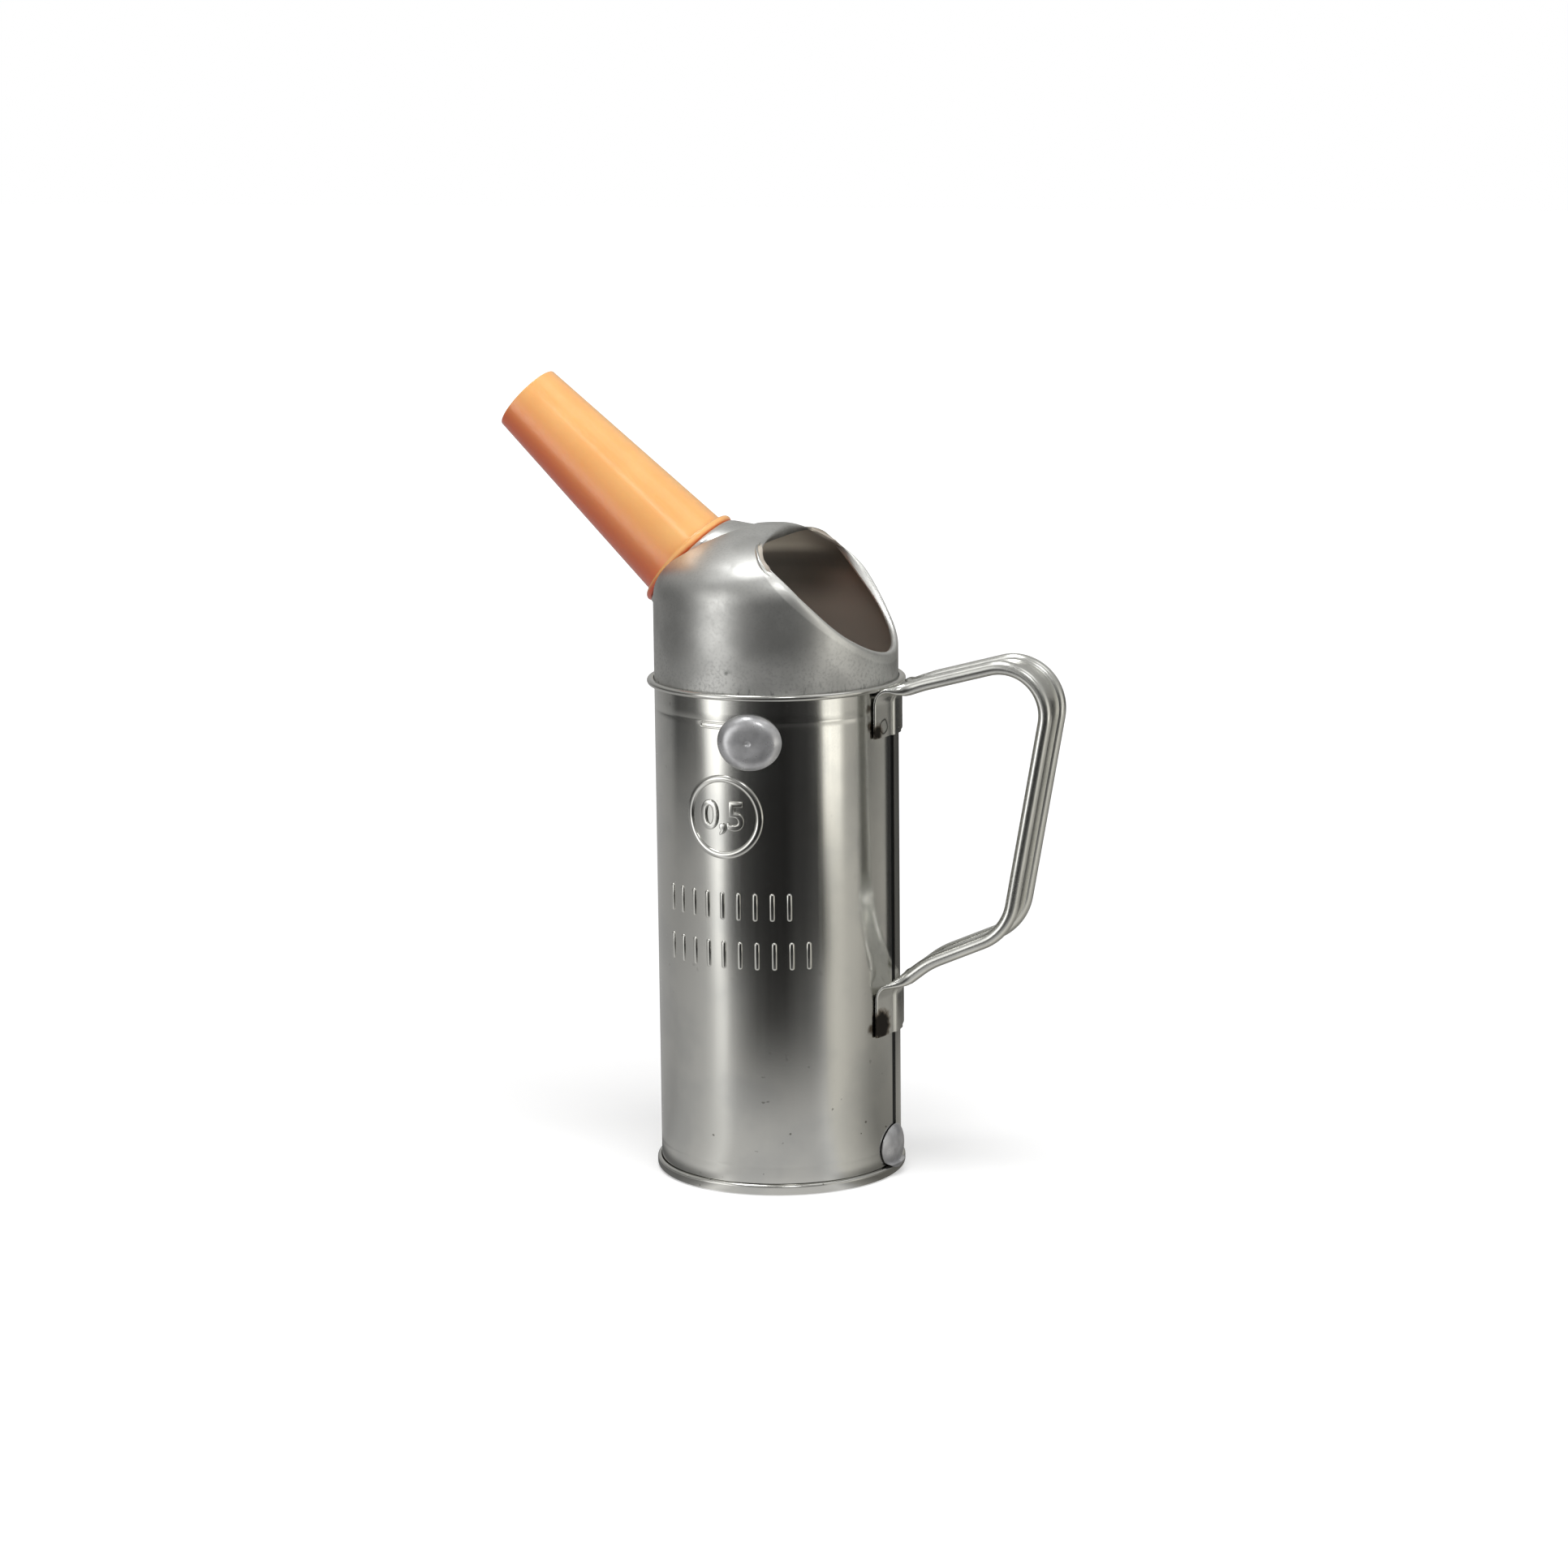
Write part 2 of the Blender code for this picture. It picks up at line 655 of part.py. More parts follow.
def strap_section(grip, away):
    """Outline of the strap as (across, outward), from a lug at grip 0 to the beads at grip 1.

    Outward is outside the handle's loop. Away is the tube's far side in it, 1 or -1.
    """
    half = LUG_HALF_WIDTH + (GRIP_HALF_WIDTH - LUG_HALF_WIDTH) * grip
    bead = STRAP_SHEET / 2.0 + (BEAD_RADIUS - STRAP_SHEET / 2.0) * grip
    centre = half - bead
    opening = math.asin(STRAP_SHEET / 2.0 / bead)
    web = centre - bead * math.cos(opening)
    sweep = 2.0 * (math.pi - opening)
    turns = [opening + sweep * i / BEAD_SPANS for i in range(BEAD_SPANS + 1)]
    outline = [(-centre + bead * math.cos(t), bead * math.sin(t)) for t in turns]
    across = [-web + 2.0 * web * i / WEB_SPANS for i in range(1, WEB_SPANS)]
    outline += [(y, -STRAP_SHEET / 2.0) for y in across]
    outline += [(centre - bead * math.cos(t), -bead * math.sin(t)) for t in turns]
    outline += [(y, STRAP_SHEET / 2.0) for y in reversed(across)]
    hug = TUBE_RADIUS + GAP + STRAP_SHEET / 2.0
    bent = []
    for y, n in outline:
        curve = hug - math.sqrt(hug * hug - y * y)
        rib = RIB_HEIGHT * max(0.0, 1.0 - abs(y) / RIB_HALF_WIDTH)
        bent.append((y, n + away * (rib - curve) * (1.0 - grip)))
    return bent


def make_handle(parent):
    """Strap handle: flat lugs hugging the tube, edges rolled into beads between them."""
    path = refine(strap_path(), STRAP_RUN)
    rings = []
    for point, direction in path:
        outward = Vector((-direction.z, 0.0, direction.x))
        out_of_lug = point.x - (TUBE_RADIUS + GAP + STRAP_SHEET)
        grip = smooth_step(out_of_lug / BEAD_GROWTH)
        section = strap_section(grip, -1.0 if point.z > HEEL_HEIGHT else 1.0)
        rings.append([point + Vector((0.0, y, 0.0)) + outward * n for y, n in section])
    bm = bmesh.new()
    grid = [[bm.verts.new(p) for p in ring] for ring in rings]
    for ring, following in zip(grid, grid[1:]):
        for j in range(len(ring)):
            k = (j + 1) % len(ring)
            bm.faces.new((ring[j], ring[k], following[k], following[j]))
    bm.faces.new(grid[0])
    bm.faces.new(list(reversed(grid[-1])))
    bmesh.ops.recalc_face_normals(bm, faces=bm.faces)
    return new_object("handle", bm, polished_strap(), parent=parent)


def seal_backing(height):
    """Radius that a seal lies on: the tube, or the wider base ring below it."""
    step = smooth_step((CHIME_HEIGHT + 2.0 * GAP + SEAL_EDGE - height) / SEAL_EDGE)
    return TUBE_RADIUS + GAP + (CHIME_REACH) * step


def make_seal(name, angle, height, width, tall, bulge, dimple, parent):
    """A flattened drop of solder, domed outside and lying on the tube inside."""
    bm = bmesh.new()
    outer, inner = [], []
    for j in range(SEAL_ROWS + 1):
        share = j / SEAL_ROWS
        dome = SEAL_EDGE + bulge * (1.0 - share**SEAL_FLATNESS)
        dome -= dimple * max(0.0, 1.0 - share / DIMPLE_SHARE)
        outer_ring, inner_ring = [], []
        for i in range(SEAL_COLUMNS):
            turn = 2.0 * math.pi * i / SEAL_COLUMNS
            z = height + tall / 2.0 * share * math.sin(turn)
            side = angle + width / 2.0 * share * math.cos(turn) / TUBE_RADIUS
            back = seal_backing(z)
            for radius, ring in ((back + dome, outer_ring), (back, inner_ring)):
                ring.append(bm.verts.new((radius * math.cos(side), radius * math.sin(side), z)))
        outer.append(outer_ring)
        inner.append(inner_ring)
    for stack in (outer, inner):
        for ring, following in zip(stack, stack[1:]):
            for i in range(SEAL_COLUMNS):
                k = (i + 1) % SEAL_COLUMNS
                bm.faces.new((ring[i], ring[k], following[k], following[i]))
    for i in range(SEAL_COLUMNS):
        k = (i + 1) % SEAL_COLUMNS
        bm.faces.new((outer[-1][i], outer[-1][k], inner[-1][k], inner[-1][i]))
    bmesh.ops.remove_doubles(bm, verts=bm.verts, dist=MERGE)
    bmesh.ops.dissolve_degenerate(bm, edges=bm.edges, dist=MERGE)
    bmesh.ops.recalc_face_normals(bm, faces=bm.faces)
    return new_object(name, bm, solder(), parent=parent)


def main():
    """Build the jug: an empty carries the fixed pieces, the spout has its own."""
    clear_scene()
    jug = bpy.data.objects.new("jug", None)
    bpy.context.scene.collection.objects.link(jug)
    make_tube(jug)
    make_base(jug)
    make_hood(jug)
    make_handle(jug)
    make_seal(
        "upper_seal",
        UPPER_SEAL_ANGLE,
        RIM_HEIGHT - UPPER_SEAL_DROP,
        UPPER_SEAL_WIDTH,
        UPPER_SEAL_TALL,
        UPPER_SEAL_BULGE,
        UPPER_SEAL_DIMPLE,
        jug,
    )
    make_seal(
        "lower_seal",
        LOWER_SEAL_ANGLE,
        LOWER_SEAL_HEIGHT,
        LOWER_SEAL_WIDTH,
        LOWER_SEAL_TALL,
        LOWER_SEAL_BULGE,
        0.0,
        jug,
    )
    make_spout(jug)


if __name__ == "__main__":
    main()
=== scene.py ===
"""Finished look of a half-litre oil measuring jug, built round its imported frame.

The jug is a rolled tinplate tube with a seamed base, a drawn hood with a filling mouth, a
strap handle with rolled edges, two solder seals and an orange plastic spout that pulls off.
Metres, +Z up. The tube's axis is the Z axis, the handle points along +X, the spout along -X.
"""

import logging
import math
from dataclasses import dataclass
from enum import Enum
from typing import Callable, Sequence

import bpy
from mathutils import Matrix, Vector

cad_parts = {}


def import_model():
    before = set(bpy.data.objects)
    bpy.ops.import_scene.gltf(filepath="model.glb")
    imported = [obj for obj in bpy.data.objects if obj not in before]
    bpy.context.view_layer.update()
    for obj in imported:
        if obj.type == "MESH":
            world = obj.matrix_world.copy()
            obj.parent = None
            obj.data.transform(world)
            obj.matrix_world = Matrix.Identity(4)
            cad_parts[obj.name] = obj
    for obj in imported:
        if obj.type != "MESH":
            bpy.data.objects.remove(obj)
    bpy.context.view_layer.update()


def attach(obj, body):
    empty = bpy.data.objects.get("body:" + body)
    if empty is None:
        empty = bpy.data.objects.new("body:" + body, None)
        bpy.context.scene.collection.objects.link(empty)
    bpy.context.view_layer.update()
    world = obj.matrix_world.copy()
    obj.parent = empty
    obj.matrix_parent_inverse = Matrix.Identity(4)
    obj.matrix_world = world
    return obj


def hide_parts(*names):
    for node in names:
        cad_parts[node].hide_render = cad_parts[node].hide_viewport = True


log = logging.getLogger("jug")

MM = 0.001
# Points nearer than this are merged.
MERGE = 0.002 * MM
# Stands for no radius where a ring shrinks to a point of the axis.
AXIS_RADIUS = MERGE / 4.0
# A face whose normal rises or falls by more lies level.
LEVEL_NORMAL = 0.5
# How far noise moves the edge of a spot, as a share of the width of the edge.
RAGGED_SHARE = 1.5
FULL_TURN = 360.0
QUARTER = math.pi / 2.0
UP = Vector((0.0, 0.0, 1.0))

Span = tuple[float, float]
Triple = tuple[float, float, float]
Colour = Triple
Profile = list[Span]
Spots = tuple[tuple[Vector, float], ...]


class Body(str, Enum):
    """Bodies of the frame that a piece can ride on."""

    JUG = "jug"
    SPOUT = "spout"


class Slot(str, Enum):
    """Material slots of the record."""

    TUBE = "bright_tinplate"
    HOOD = "drawn_tinplate"
    STRAP = "polished_strap"
    PLASTIC = "orange_plastic"
    SOLDER = "solder"


class Value:
    """A number that varies over a surface: a shader socket that takes part in sums."""

    def __init__(self, graph: "Graph", socket: bpy.types.NodeSocket) -> None:
        """Keep the socket with the graph that it is in."""
        self.graph = graph
        self.socket = socket

    def __add__(self, other: "Value | float") -> "Value":
        """Sum."""
        return self.graph.math("ADD", self, other)

    def __radd__(self, other: float) -> "Value":
        """Sum with a number in front."""
        return self.graph.math("ADD", other, self)

    def __sub__(self, other: "Value | float") -> "Value":
        """Difference."""
        return self.graph.math("SUBTRACT", self, other)

    def __rsub__(self, other: float) -> "Value":
        """Difference from a number."""
        return self.graph.math("SUBTRACT", other, self)

    def __mul__(self, other: "Value | float") -> "Value":
        """Product."""
        return self.graph.math("MULTIPLY", self, other)

    def __rmul__(self, other: float) -> "Value":
        """Product with a number in front."""
        return self.graph.math("MULTIPLY", other, self)

    def __truediv__(self, other: "Value | float") -> "Value":
        """Quotient."""
        return self.graph.math("DIVIDE", self, other)

    def highest(self, other: "Value | float") -> "Value":
        """The larger of two."""
        return self.graph.math("MAXIMUM", self, other)

    def rise(self, low: float, high: float) -> "Value":
        """Smooth step: 0 up to low, 1 from high on.

        Args:
            low: Where the step begins.
            high: Where it ends; below low, the step falls instead.

        Returns:
            The step's value.
        """
        if high < low:
            return 1.0 - self.rise(high, low)
        settings = {"interpolation_type": "SMOOTHSTEP"}
        made = self.graph.node(
            "ShaderNodeMapRange", settings, {"Value": self, "From Min": low, "From Max": high}
        )
        return Value(self.graph, made.outputs["Result"])

    def between(self, low: float, high: float, soft: float) -> "Value":
        """1 between two bounds, with soft edges that are centred on them.

        Args:
            low: Lower bound.
            high: Upper bound.
            soft: Width of each edge.

        Returns:
            The window's value.
        """
        half = soft / 2.0
        return self.rise(low - half, low + half) * self.rise(high + half, high - half)


class Graph:
    """A node tree with short ways to add nodes to it."""

    def __init__(self, tree: bpy.types.NodeTree) -> None:
        """Start from an empty tree."""
        self.tree = tree
        tree.nodes.clear()

    def feed(self, socket: bpy.types.NodeSocket, source: object) -> None:
        """Link a socket or set its value.

        Args:
            socket: The input.
            source: A Value, an output socket, or a plain value.
        """
        if isinstance(source, Value):
            source = source.socket
        if isinstance(source, bpy.types.NodeSocket):
            self.tree.links.new(source, socket)
        elif socket.type == "RGBA" and len(source) == 3:
            socket.default_value = (*source, 1.0)
        else:
            socket.default_value = source

    def node(self, kind: str, settings: dict, inputs: dict) -> bpy.types.Node:
        """Add a node.

        Args:
            kind: Its type.
            settings: Its own properties, set before its sockets.
            inputs: Socket names or places with what feeds them.

        Returns:
            The node.
        """
        made = self.tree.nodes.new(kind)
        for name, value in settings.items():
            setattr(made, name, value)
        for key, source in inputs.items():
            self.feed(made.inputs[key], source)
        return made

    def math(self, operation: str, *terms: "Value | float") -> Value:
        """A Math node on one or two terms."""
        made = self.node("ShaderNodeMath", {"operation": operation}, dict(enumerate(terms)))
        return Value(self, made.outputs[0])

    def vector(self, operation: str, *terms: object) -> bpy.types.Node:
        """A Vector Math node."""
        return self.node("ShaderNodeVectorMath", {"operation": operation}, dict(enumerate(terms)))

    def place(self) -> bpy.types.NodeSocket:
        """The point on the piece, in its own coordinates."""
        return self.node("ShaderNodeTexCoord", {}, {}).outputs["Object"]

    def parts(self, vector: bpy.types.NodeSocket) -> tuple[Value, Value, Value]:
        """The three numbers of a vector."""
        made = self.node("ShaderNodeSeparateXYZ", {}, {"Vector": vector})
        return tuple(Value(self, made.outputs[i]) for i in range(3))

    def combine(self, x: object, y: object, z: object) -> bpy.types.NodeSocket:
        """A vector of three numbers."""
        return self.node("ShaderNodeCombineXYZ", {}, {"X": x, "Y": y, "Z": z}).outputs["Vector"]

    def noise(self, vector: bpy.types.NodeSocket, scale: float, detail: float = 2.0) -> Value:
        """Smooth noise from 0 to 1, about one half on average.

        Args:
            vector: Where it is read.
            scale: Features per unit of the vector.
            detail: Octaves added to the first.

        Returns:
            The noise.
        """
        made = self.node(
            "ShaderNodeTexNoise", {}, {"Vector": vector, "Scale": scale, "Detail": detail}
        )
        return Value(self, made.outputs["Fac"])

    def blend(self, share: Value, start: object, end: object) -> bpy.types.NodeSocket:
        """A colour between two colours."""
        made = self.node("ShaderNodeMix", {"data_type": "RGBA"}, {0: share, 6: start, 7: end})
        return made.outputs[2]

    def dot(self, vector: bpy.types.NodeSocket, direction: Vector) -> Value:
        """How far a vector reaches in a fixed direction."""
        made = self.vector("DOT_PRODUCT", vector, tuple(direction))
        return Value(self, made.outputs["Value"])

    def ray(self, kind: str) -> Value:
        """1 for one kind of ray, such as the camera's own."""
        return Value(self, self.node("ShaderNodeLightPath", {}, {}).outputs[kind])

    def spot(self, centre: Vector, radius: float, soft: float, ragged: Value) -> Value:
        """1 near a point, with a ragged soft edge.

        Args:
            centre: The point.
            radius: Distance at which the spot is half as strong.
            soft: Width of its edge.
            ragged: Noise from 0 to 1 that moves the edge in and out.

        Returns:
            The spot's strength.
        """
        made = self.vector("DISTANCE", self.place(), tuple(centre))
        distance = Value(self, made.outputs["Value"]) + (ragged - 0.5) * (RAGGED_SHARE * soft)
        return distance.rise(radius + soft / 2.0, radius - soft / 2.0)

    def bump(self, height: Value, distance: float, strength: float) -> bpy.types.NodeSocket:
        """A normal that is tilted by a height.

        Args:
            height: Height as a share of the distance.
            distance: Real height of one unit.
            strength: Share of the effect.

        Returns:
            The normal.
        """
        made = self.node(
            "ShaderNodeBump", {}, {"Height": height, "Distance": distance, "Strength": strength}
        )
        return made.outputs["Normal"]

    def glow(self, colour: object) -> bpy.types.NodeSocket:
        """A shader that shines in its own colour."""
        made = self.node("ShaderNodeEmission", {}, {"Color": colour, "Strength": 1.0})
        return made.outputs["Emission"]

    def either(self, share: Value, first: object, second: object) -> bpy.types.NodeSocket:
        """The first shader where the share is 0, the second where it is 1."""
        return self.node("ShaderNodeMixShader", {}, {0: share, 1: first, 2: second}).outputs[0]

    def show(self, shader: bpy.types.NodeSocket) -> None:
        """Make a shader the material's surface."""
        self.node("ShaderNodeOutputMaterial", {}, {"Surface": shader})

    def surface(self, inputs: dict) -> None:
        """Make a Principled shader the material's surface."""
        self.show(self.node("ShaderNodeBsdfPrincipled", {}, inputs).outputs["BSDF"])


def new_graph(name: str) -> tuple[bpy.types.Material, Graph]:
    """A new material with an empty graph."""
    made = bpy.data.materials.new(name)
    made.use_nodes = True
    return made, Graph(made.node_tree)


@dataclass(frozen=True)
class BrightTinplate:
    """Rolled sheet of the tube and base: bright, with fine upright streaks and small specks.

    In every finish a rise holds the values between which a share grows from 0 to 1, and a
    least and a gain are where a share starts and what a rise adds to it. A shrink is what
    heights are multiplied by before a noise reads them, which draws the noise out upright.
    """

    colour: Colour = (0.66, 0.655, 0.62)
    cloud_colour: Colour = (0.60, 0.60, 0.575)
    speck_colour: Colour = (0.10, 0.095, 0.08)
    # Colour of the lock seam: painted shade of its groove, with grime in it.
    seam_shade_and_grime_colour: Colour = (0.025, 0.03, 0.03)
    # Colour of the spots of painted shadow beside the handle's lugs.
    burn_and_shadow_colour: Colour = (0.09, 0.065, 0.04)
    roughness: float = 0.06
    least_roughness: float = 0.05
    rolled_roughness: float = 0.07
    grain_roughness: float = 0.05
    speck_roughness: float = 0.2
    seam_roughness: float = 0.3
    streak_scale: float = 900.0
    streak_shrink: float = 0.012
    streak_weight: float = 0.7
    grain_scale: float = 2160.0
    cloud_scale: float = 55.0
    cloud_rise: Span = (0.42, 0.66)
    speck_scale: float = 420.0
    speck_rise: Span = (0.75, 0.79)
    speck_heights: Span = (45.0 * MM, 8.0 * MM)
    speck_least: float = 0.12
    speck_gain: float = 0.75
    wave_scale: float = 42.0
    wave_shrink: float = 0.45
    wave_weight: float = 9.0
    relief: float = 0.004 * MM
    relief_strength: float = 0.6
    seam_angles: Span = (0.0, 0.0)
    seam_heights: Span = (4.2 * MM, 141.6 * MM)
    seam_soft: float = math.radians(0.5)
    seam_end: float = 0.3 * MM
    burn_and_shadow_soft: float = 1.6 * MM
    burn_and_shadow_share: float = 0.9
    burns_and_shadows: tuple = ()

    def build(self) -> bpy.types.Material:
        """Make the material.

        Returns:
            The material, for the pieces that wear it.
        """
        mat, graph = new_graph("bright_tinplate")
        place = graph.place()
        x, y, z = graph.parts(place)
        streak = graph.noise(graph.combine(x, y, z * self.streak_shrink), self.streak_scale, 3.0)
        cloud = graph.noise(place, self.cloud_scale, 3.0)
        grain = graph.noise(place, self.grain_scale)
        specks = graph.noise(place, self.speck_scale, 1.0).rise(*self.speck_rise)
        specks = specks * (z.rise(*self.speck_heights) * self.speck_gain + self.speck_least)
        wave = graph.noise(graph.combine(x, y, z * self.wave_shrink), self.wave_scale, 1.0)
        # The lock seam's strip, turned near black: painted shade of its groove, with grime.
        seam = graph.math("ARCTAN2", y, x).between(*self.seam_angles, self.seam_soft)
        seam = seam * z.between(*self.seam_heights, self.seam_end)
        colour = graph.blend(cloud.rise(*self.cloud_rise), self.colour, self.cloud_colour)
        colour = graph.blend(specks, colour, self.speck_colour)
        ragged = graph.noise(place, self.speck_scale, 3.0)
        # Spots of painted shadow on the wall, where the lugs shade the gap beside them.
        for centre, radius in self.burns_and_shadows:
            burn_and_shadow = graph.spot(centre, radius, self.burn_and_shadow_soft, ragged)
            colour = graph.blend(burn_and_shadow * self.burn_and_shadow_share, colour, self.burn_and_shadow_colour)
        colour = graph.blend(seam, colour, self.seam_shade_and_grime_colour)
        rough = (streak + cloud) * self.rolled_roughness + self.roughness
        rough = rough + grain * self.grain_roughness + specks * self.speck_roughness
        rough = (rough + seam * self.seam_roughness).highest(self.least_roughness)
        height = streak * self.streak_weight + grain + wave * self.wave_weight
        relief = graph.bump(height, self.relief, self.relief_strength)
        graph.surface({"Base Color": colour, "Metallic": 1.0, "Roughness": rough, "Normal": relief})
        return mat


@dataclass(frozen=True)
class DrawnTinplate:
    """The hood's sheet: satin and mottled, with a painted highlight on the brim, browner on its inside,
    where painted shade and a painted highlight lie.

    A haze is what a place takes off the metal.
    """

    mouth: Vector
    mouth_normal: Vector
    colour: Colour = (0.61, 0.61, 0.59)
    dull_colour: Colour = (0.46, 0.46, 0.445)
    mottle_colour: Colour = (0.42, 0.42, 0.41)
    mark_colour: Colour = (0.22, 0.22, 0.21)
    # Colour of the painted highlight on the brim.
    brim_highlight_colour: Colour = (0.88, 0.88, 0.85)
    inside_colour: Colour = (0.52, 0.46, 0.40)
    # Colours of the painted highlight high in the crown's inside and of the painted shade below it.
    inner_highlight_colour: Colour = (0.96, 0.90, 0.76)
    inner_shade_colour: Colour = (0.14, 0.13, 0.11)
    roughness: float = 0.18
    least_roughness: float = 0.08
    mottle_roughness: float = 0.16
    cloud_roughness: float = 0.14
    drawn_roughness: float = 0.06
    inside_roughness: float = 0.05
    skirt_roughness: float = 0.14
    metal: float = 0.9
    skirt_haze: float = 0.05
    inside_haze: float = 0.4
    inner_highlight_haze: float = 0.45
    mottle_scale: float = 1300.0
    mottle_rise: Span = (0.45, 0.72)
    mottle_least: float = 0.35
    mottle_gain: float = 0.4
    mottle_weight: float = 0.7
    cloud_scale: float = 70.0
    cloud_rise: Span = (0.35, 0.68)
    drawn_scale: float = 630.0
    drawn_weight: float = 0.6
    relief: float = 0.014 * MM
    relief_strength: float = 0.6
    skirt_heights: Span = (158.0 * MM, 148.0 * MM)
    mark_scale: float = 1300.0
    mark_shrink: float = 0.22
    mark_rise: Span = (0.56, 0.7)
    mark_heights: Span = (150.0 * MM, 142.0 * MM)
    mark_least: float = 0.1
    mark_gain: float = 0.75
    speck: Vector = Vector((-2.2 * MM, -34.93 * MM, 150.3 * MM))
    speck_radius: float = 0.7 * MM
    speck_soft: float = 1.2 * MM
    speck_share: float = 0.8
    brim_rise: Span = (-0.9 * MM, -0.3 * MM)
    brim_top: Span = (183.0 * MM, 180.0 * MM)
    brim_foot: Span = (153.0 * MM, 173.0 * MM)
    brim_highlight_least: float = 0.35
    brim_highlight_gain: float = 0.65
    brim_highlight_share: float = 0.9
    inner_shade_heights: Span = (163.0 * MM, 176.5 * MM)
    inner_shade_soft: float = 10.0 * MM
    inner_shade_reach: Span = (22.0 * MM, -4.0 * MM)
    inner_shade_share: float = 0.85
    inner_highlight_heights: Span = (175.0 * MM, 178.5 * MM)
    inner_highlight_reach: Span = (9.0 * MM, -4.0 * MM)

    def build(self) -> bpy.types.Material:
        """Make the material.

        Returns:
            The material, for the pieces that wear it.
        """
        mat, graph = new_graph("drawn_tinplate")
        place = graph.place()
        x, y, z = graph.parts(place)
        mottle = graph.noise(place, self.mottle_scale, 3.0)
        cloud = graph.noise(place, self.cloud_scale, 4.0)
        drawn = graph.noise(place, self.drawn_scale)
        skirt = z.rise(*self.skirt_heights)
        colour = graph.blend(cloud.rise(*self.cloud_rise), self.colour, self.dull_colour)
        share = mottle.rise(*self.mottle_rise) * (skirt * self.mottle_gain + self.mottle_least)
        colour = graph.blend(share, colour, self.mottle_colour)
        upright = graph.combine(x, y, z * self.mark_shrink)
        marks = graph.noise(upright, self.mark_scale).rise(*self.mark_rise)
        marks = marks * (z.rise(*self.mark_heights) * self.mark_gain + self.mark_least)
        speck = graph.spot(self.speck, self.speck_radius, self.speck_soft, drawn)
        marks = (marks + speck * self.speck_share).rise(0.0, 1.0)
        colour = graph.blend(marks, colour, self.mark_colour)
        # A painted highlight on the mouth's brim: paler sheet near the mouth's plane, gone above 183 mm
        # and weaker low down.
        above = graph.dot(place, self.mouth_normal) - self.mouth.dot(self.mouth_normal)
        brim = above.rise(*self.brim_rise) * z.rise(*self.brim_top)
        brim = brim * (z.rise(*self.brim_foot) * self.brim_highlight_gain + self.brim_highlight_least)
        colour = graph.blend(brim * self.brim_highlight_share, colour, self.brim_highlight_colour)
        inside = graph.node("ShaderNodeAttribute", {"attribute_name": "inside"}, {})
        inner = Value(graph, inside.outputs["Fac"])
        # Inside the hood: painted shade on the wall between 163 and 176.5 mm towards the neck's side,
        # and a painted highlight above it, high in the crown.
        dim = z.between(*self.inner_shade_heights, self.inner_shade_soft) * x.rise(*self.inner_shade_reach)
        pale = z.rise(*self.inner_highlight_heights) * x.rise(*self.inner_highlight_reach)
        inner_colour = graph.blend(dim * self.inner_shade_share, self.inside_colour, self.inner_shade_colour)
        inner_colour = graph.blend(pale, inner_colour, self.inner_highlight_colour)
        colour = graph.blend(inner, colour, inner_colour)
        rough = mottle * self.mottle_roughness + cloud * self.cloud_roughness
        rough = rough + drawn * self.drawn_roughness + self.roughness
        rough = rough + inner * self.inside_roughness + skirt * self.skirt_roughness
        height = mottle * self.mottle_weight + drawn * self.drawn_weight
        haze = inner * (pale * self.inner_highlight_haze + self.inside_haze) + skirt * self.skirt_haze
        graph.surface(
            {
                "Base Color": colour,
                "Metallic": self.metal - haze,
                "Roughness": rough.highest(self.least_roughness),
                "Normal": graph.bump(height, self.relief, self.relief_strength),
            }
        )
        return mat


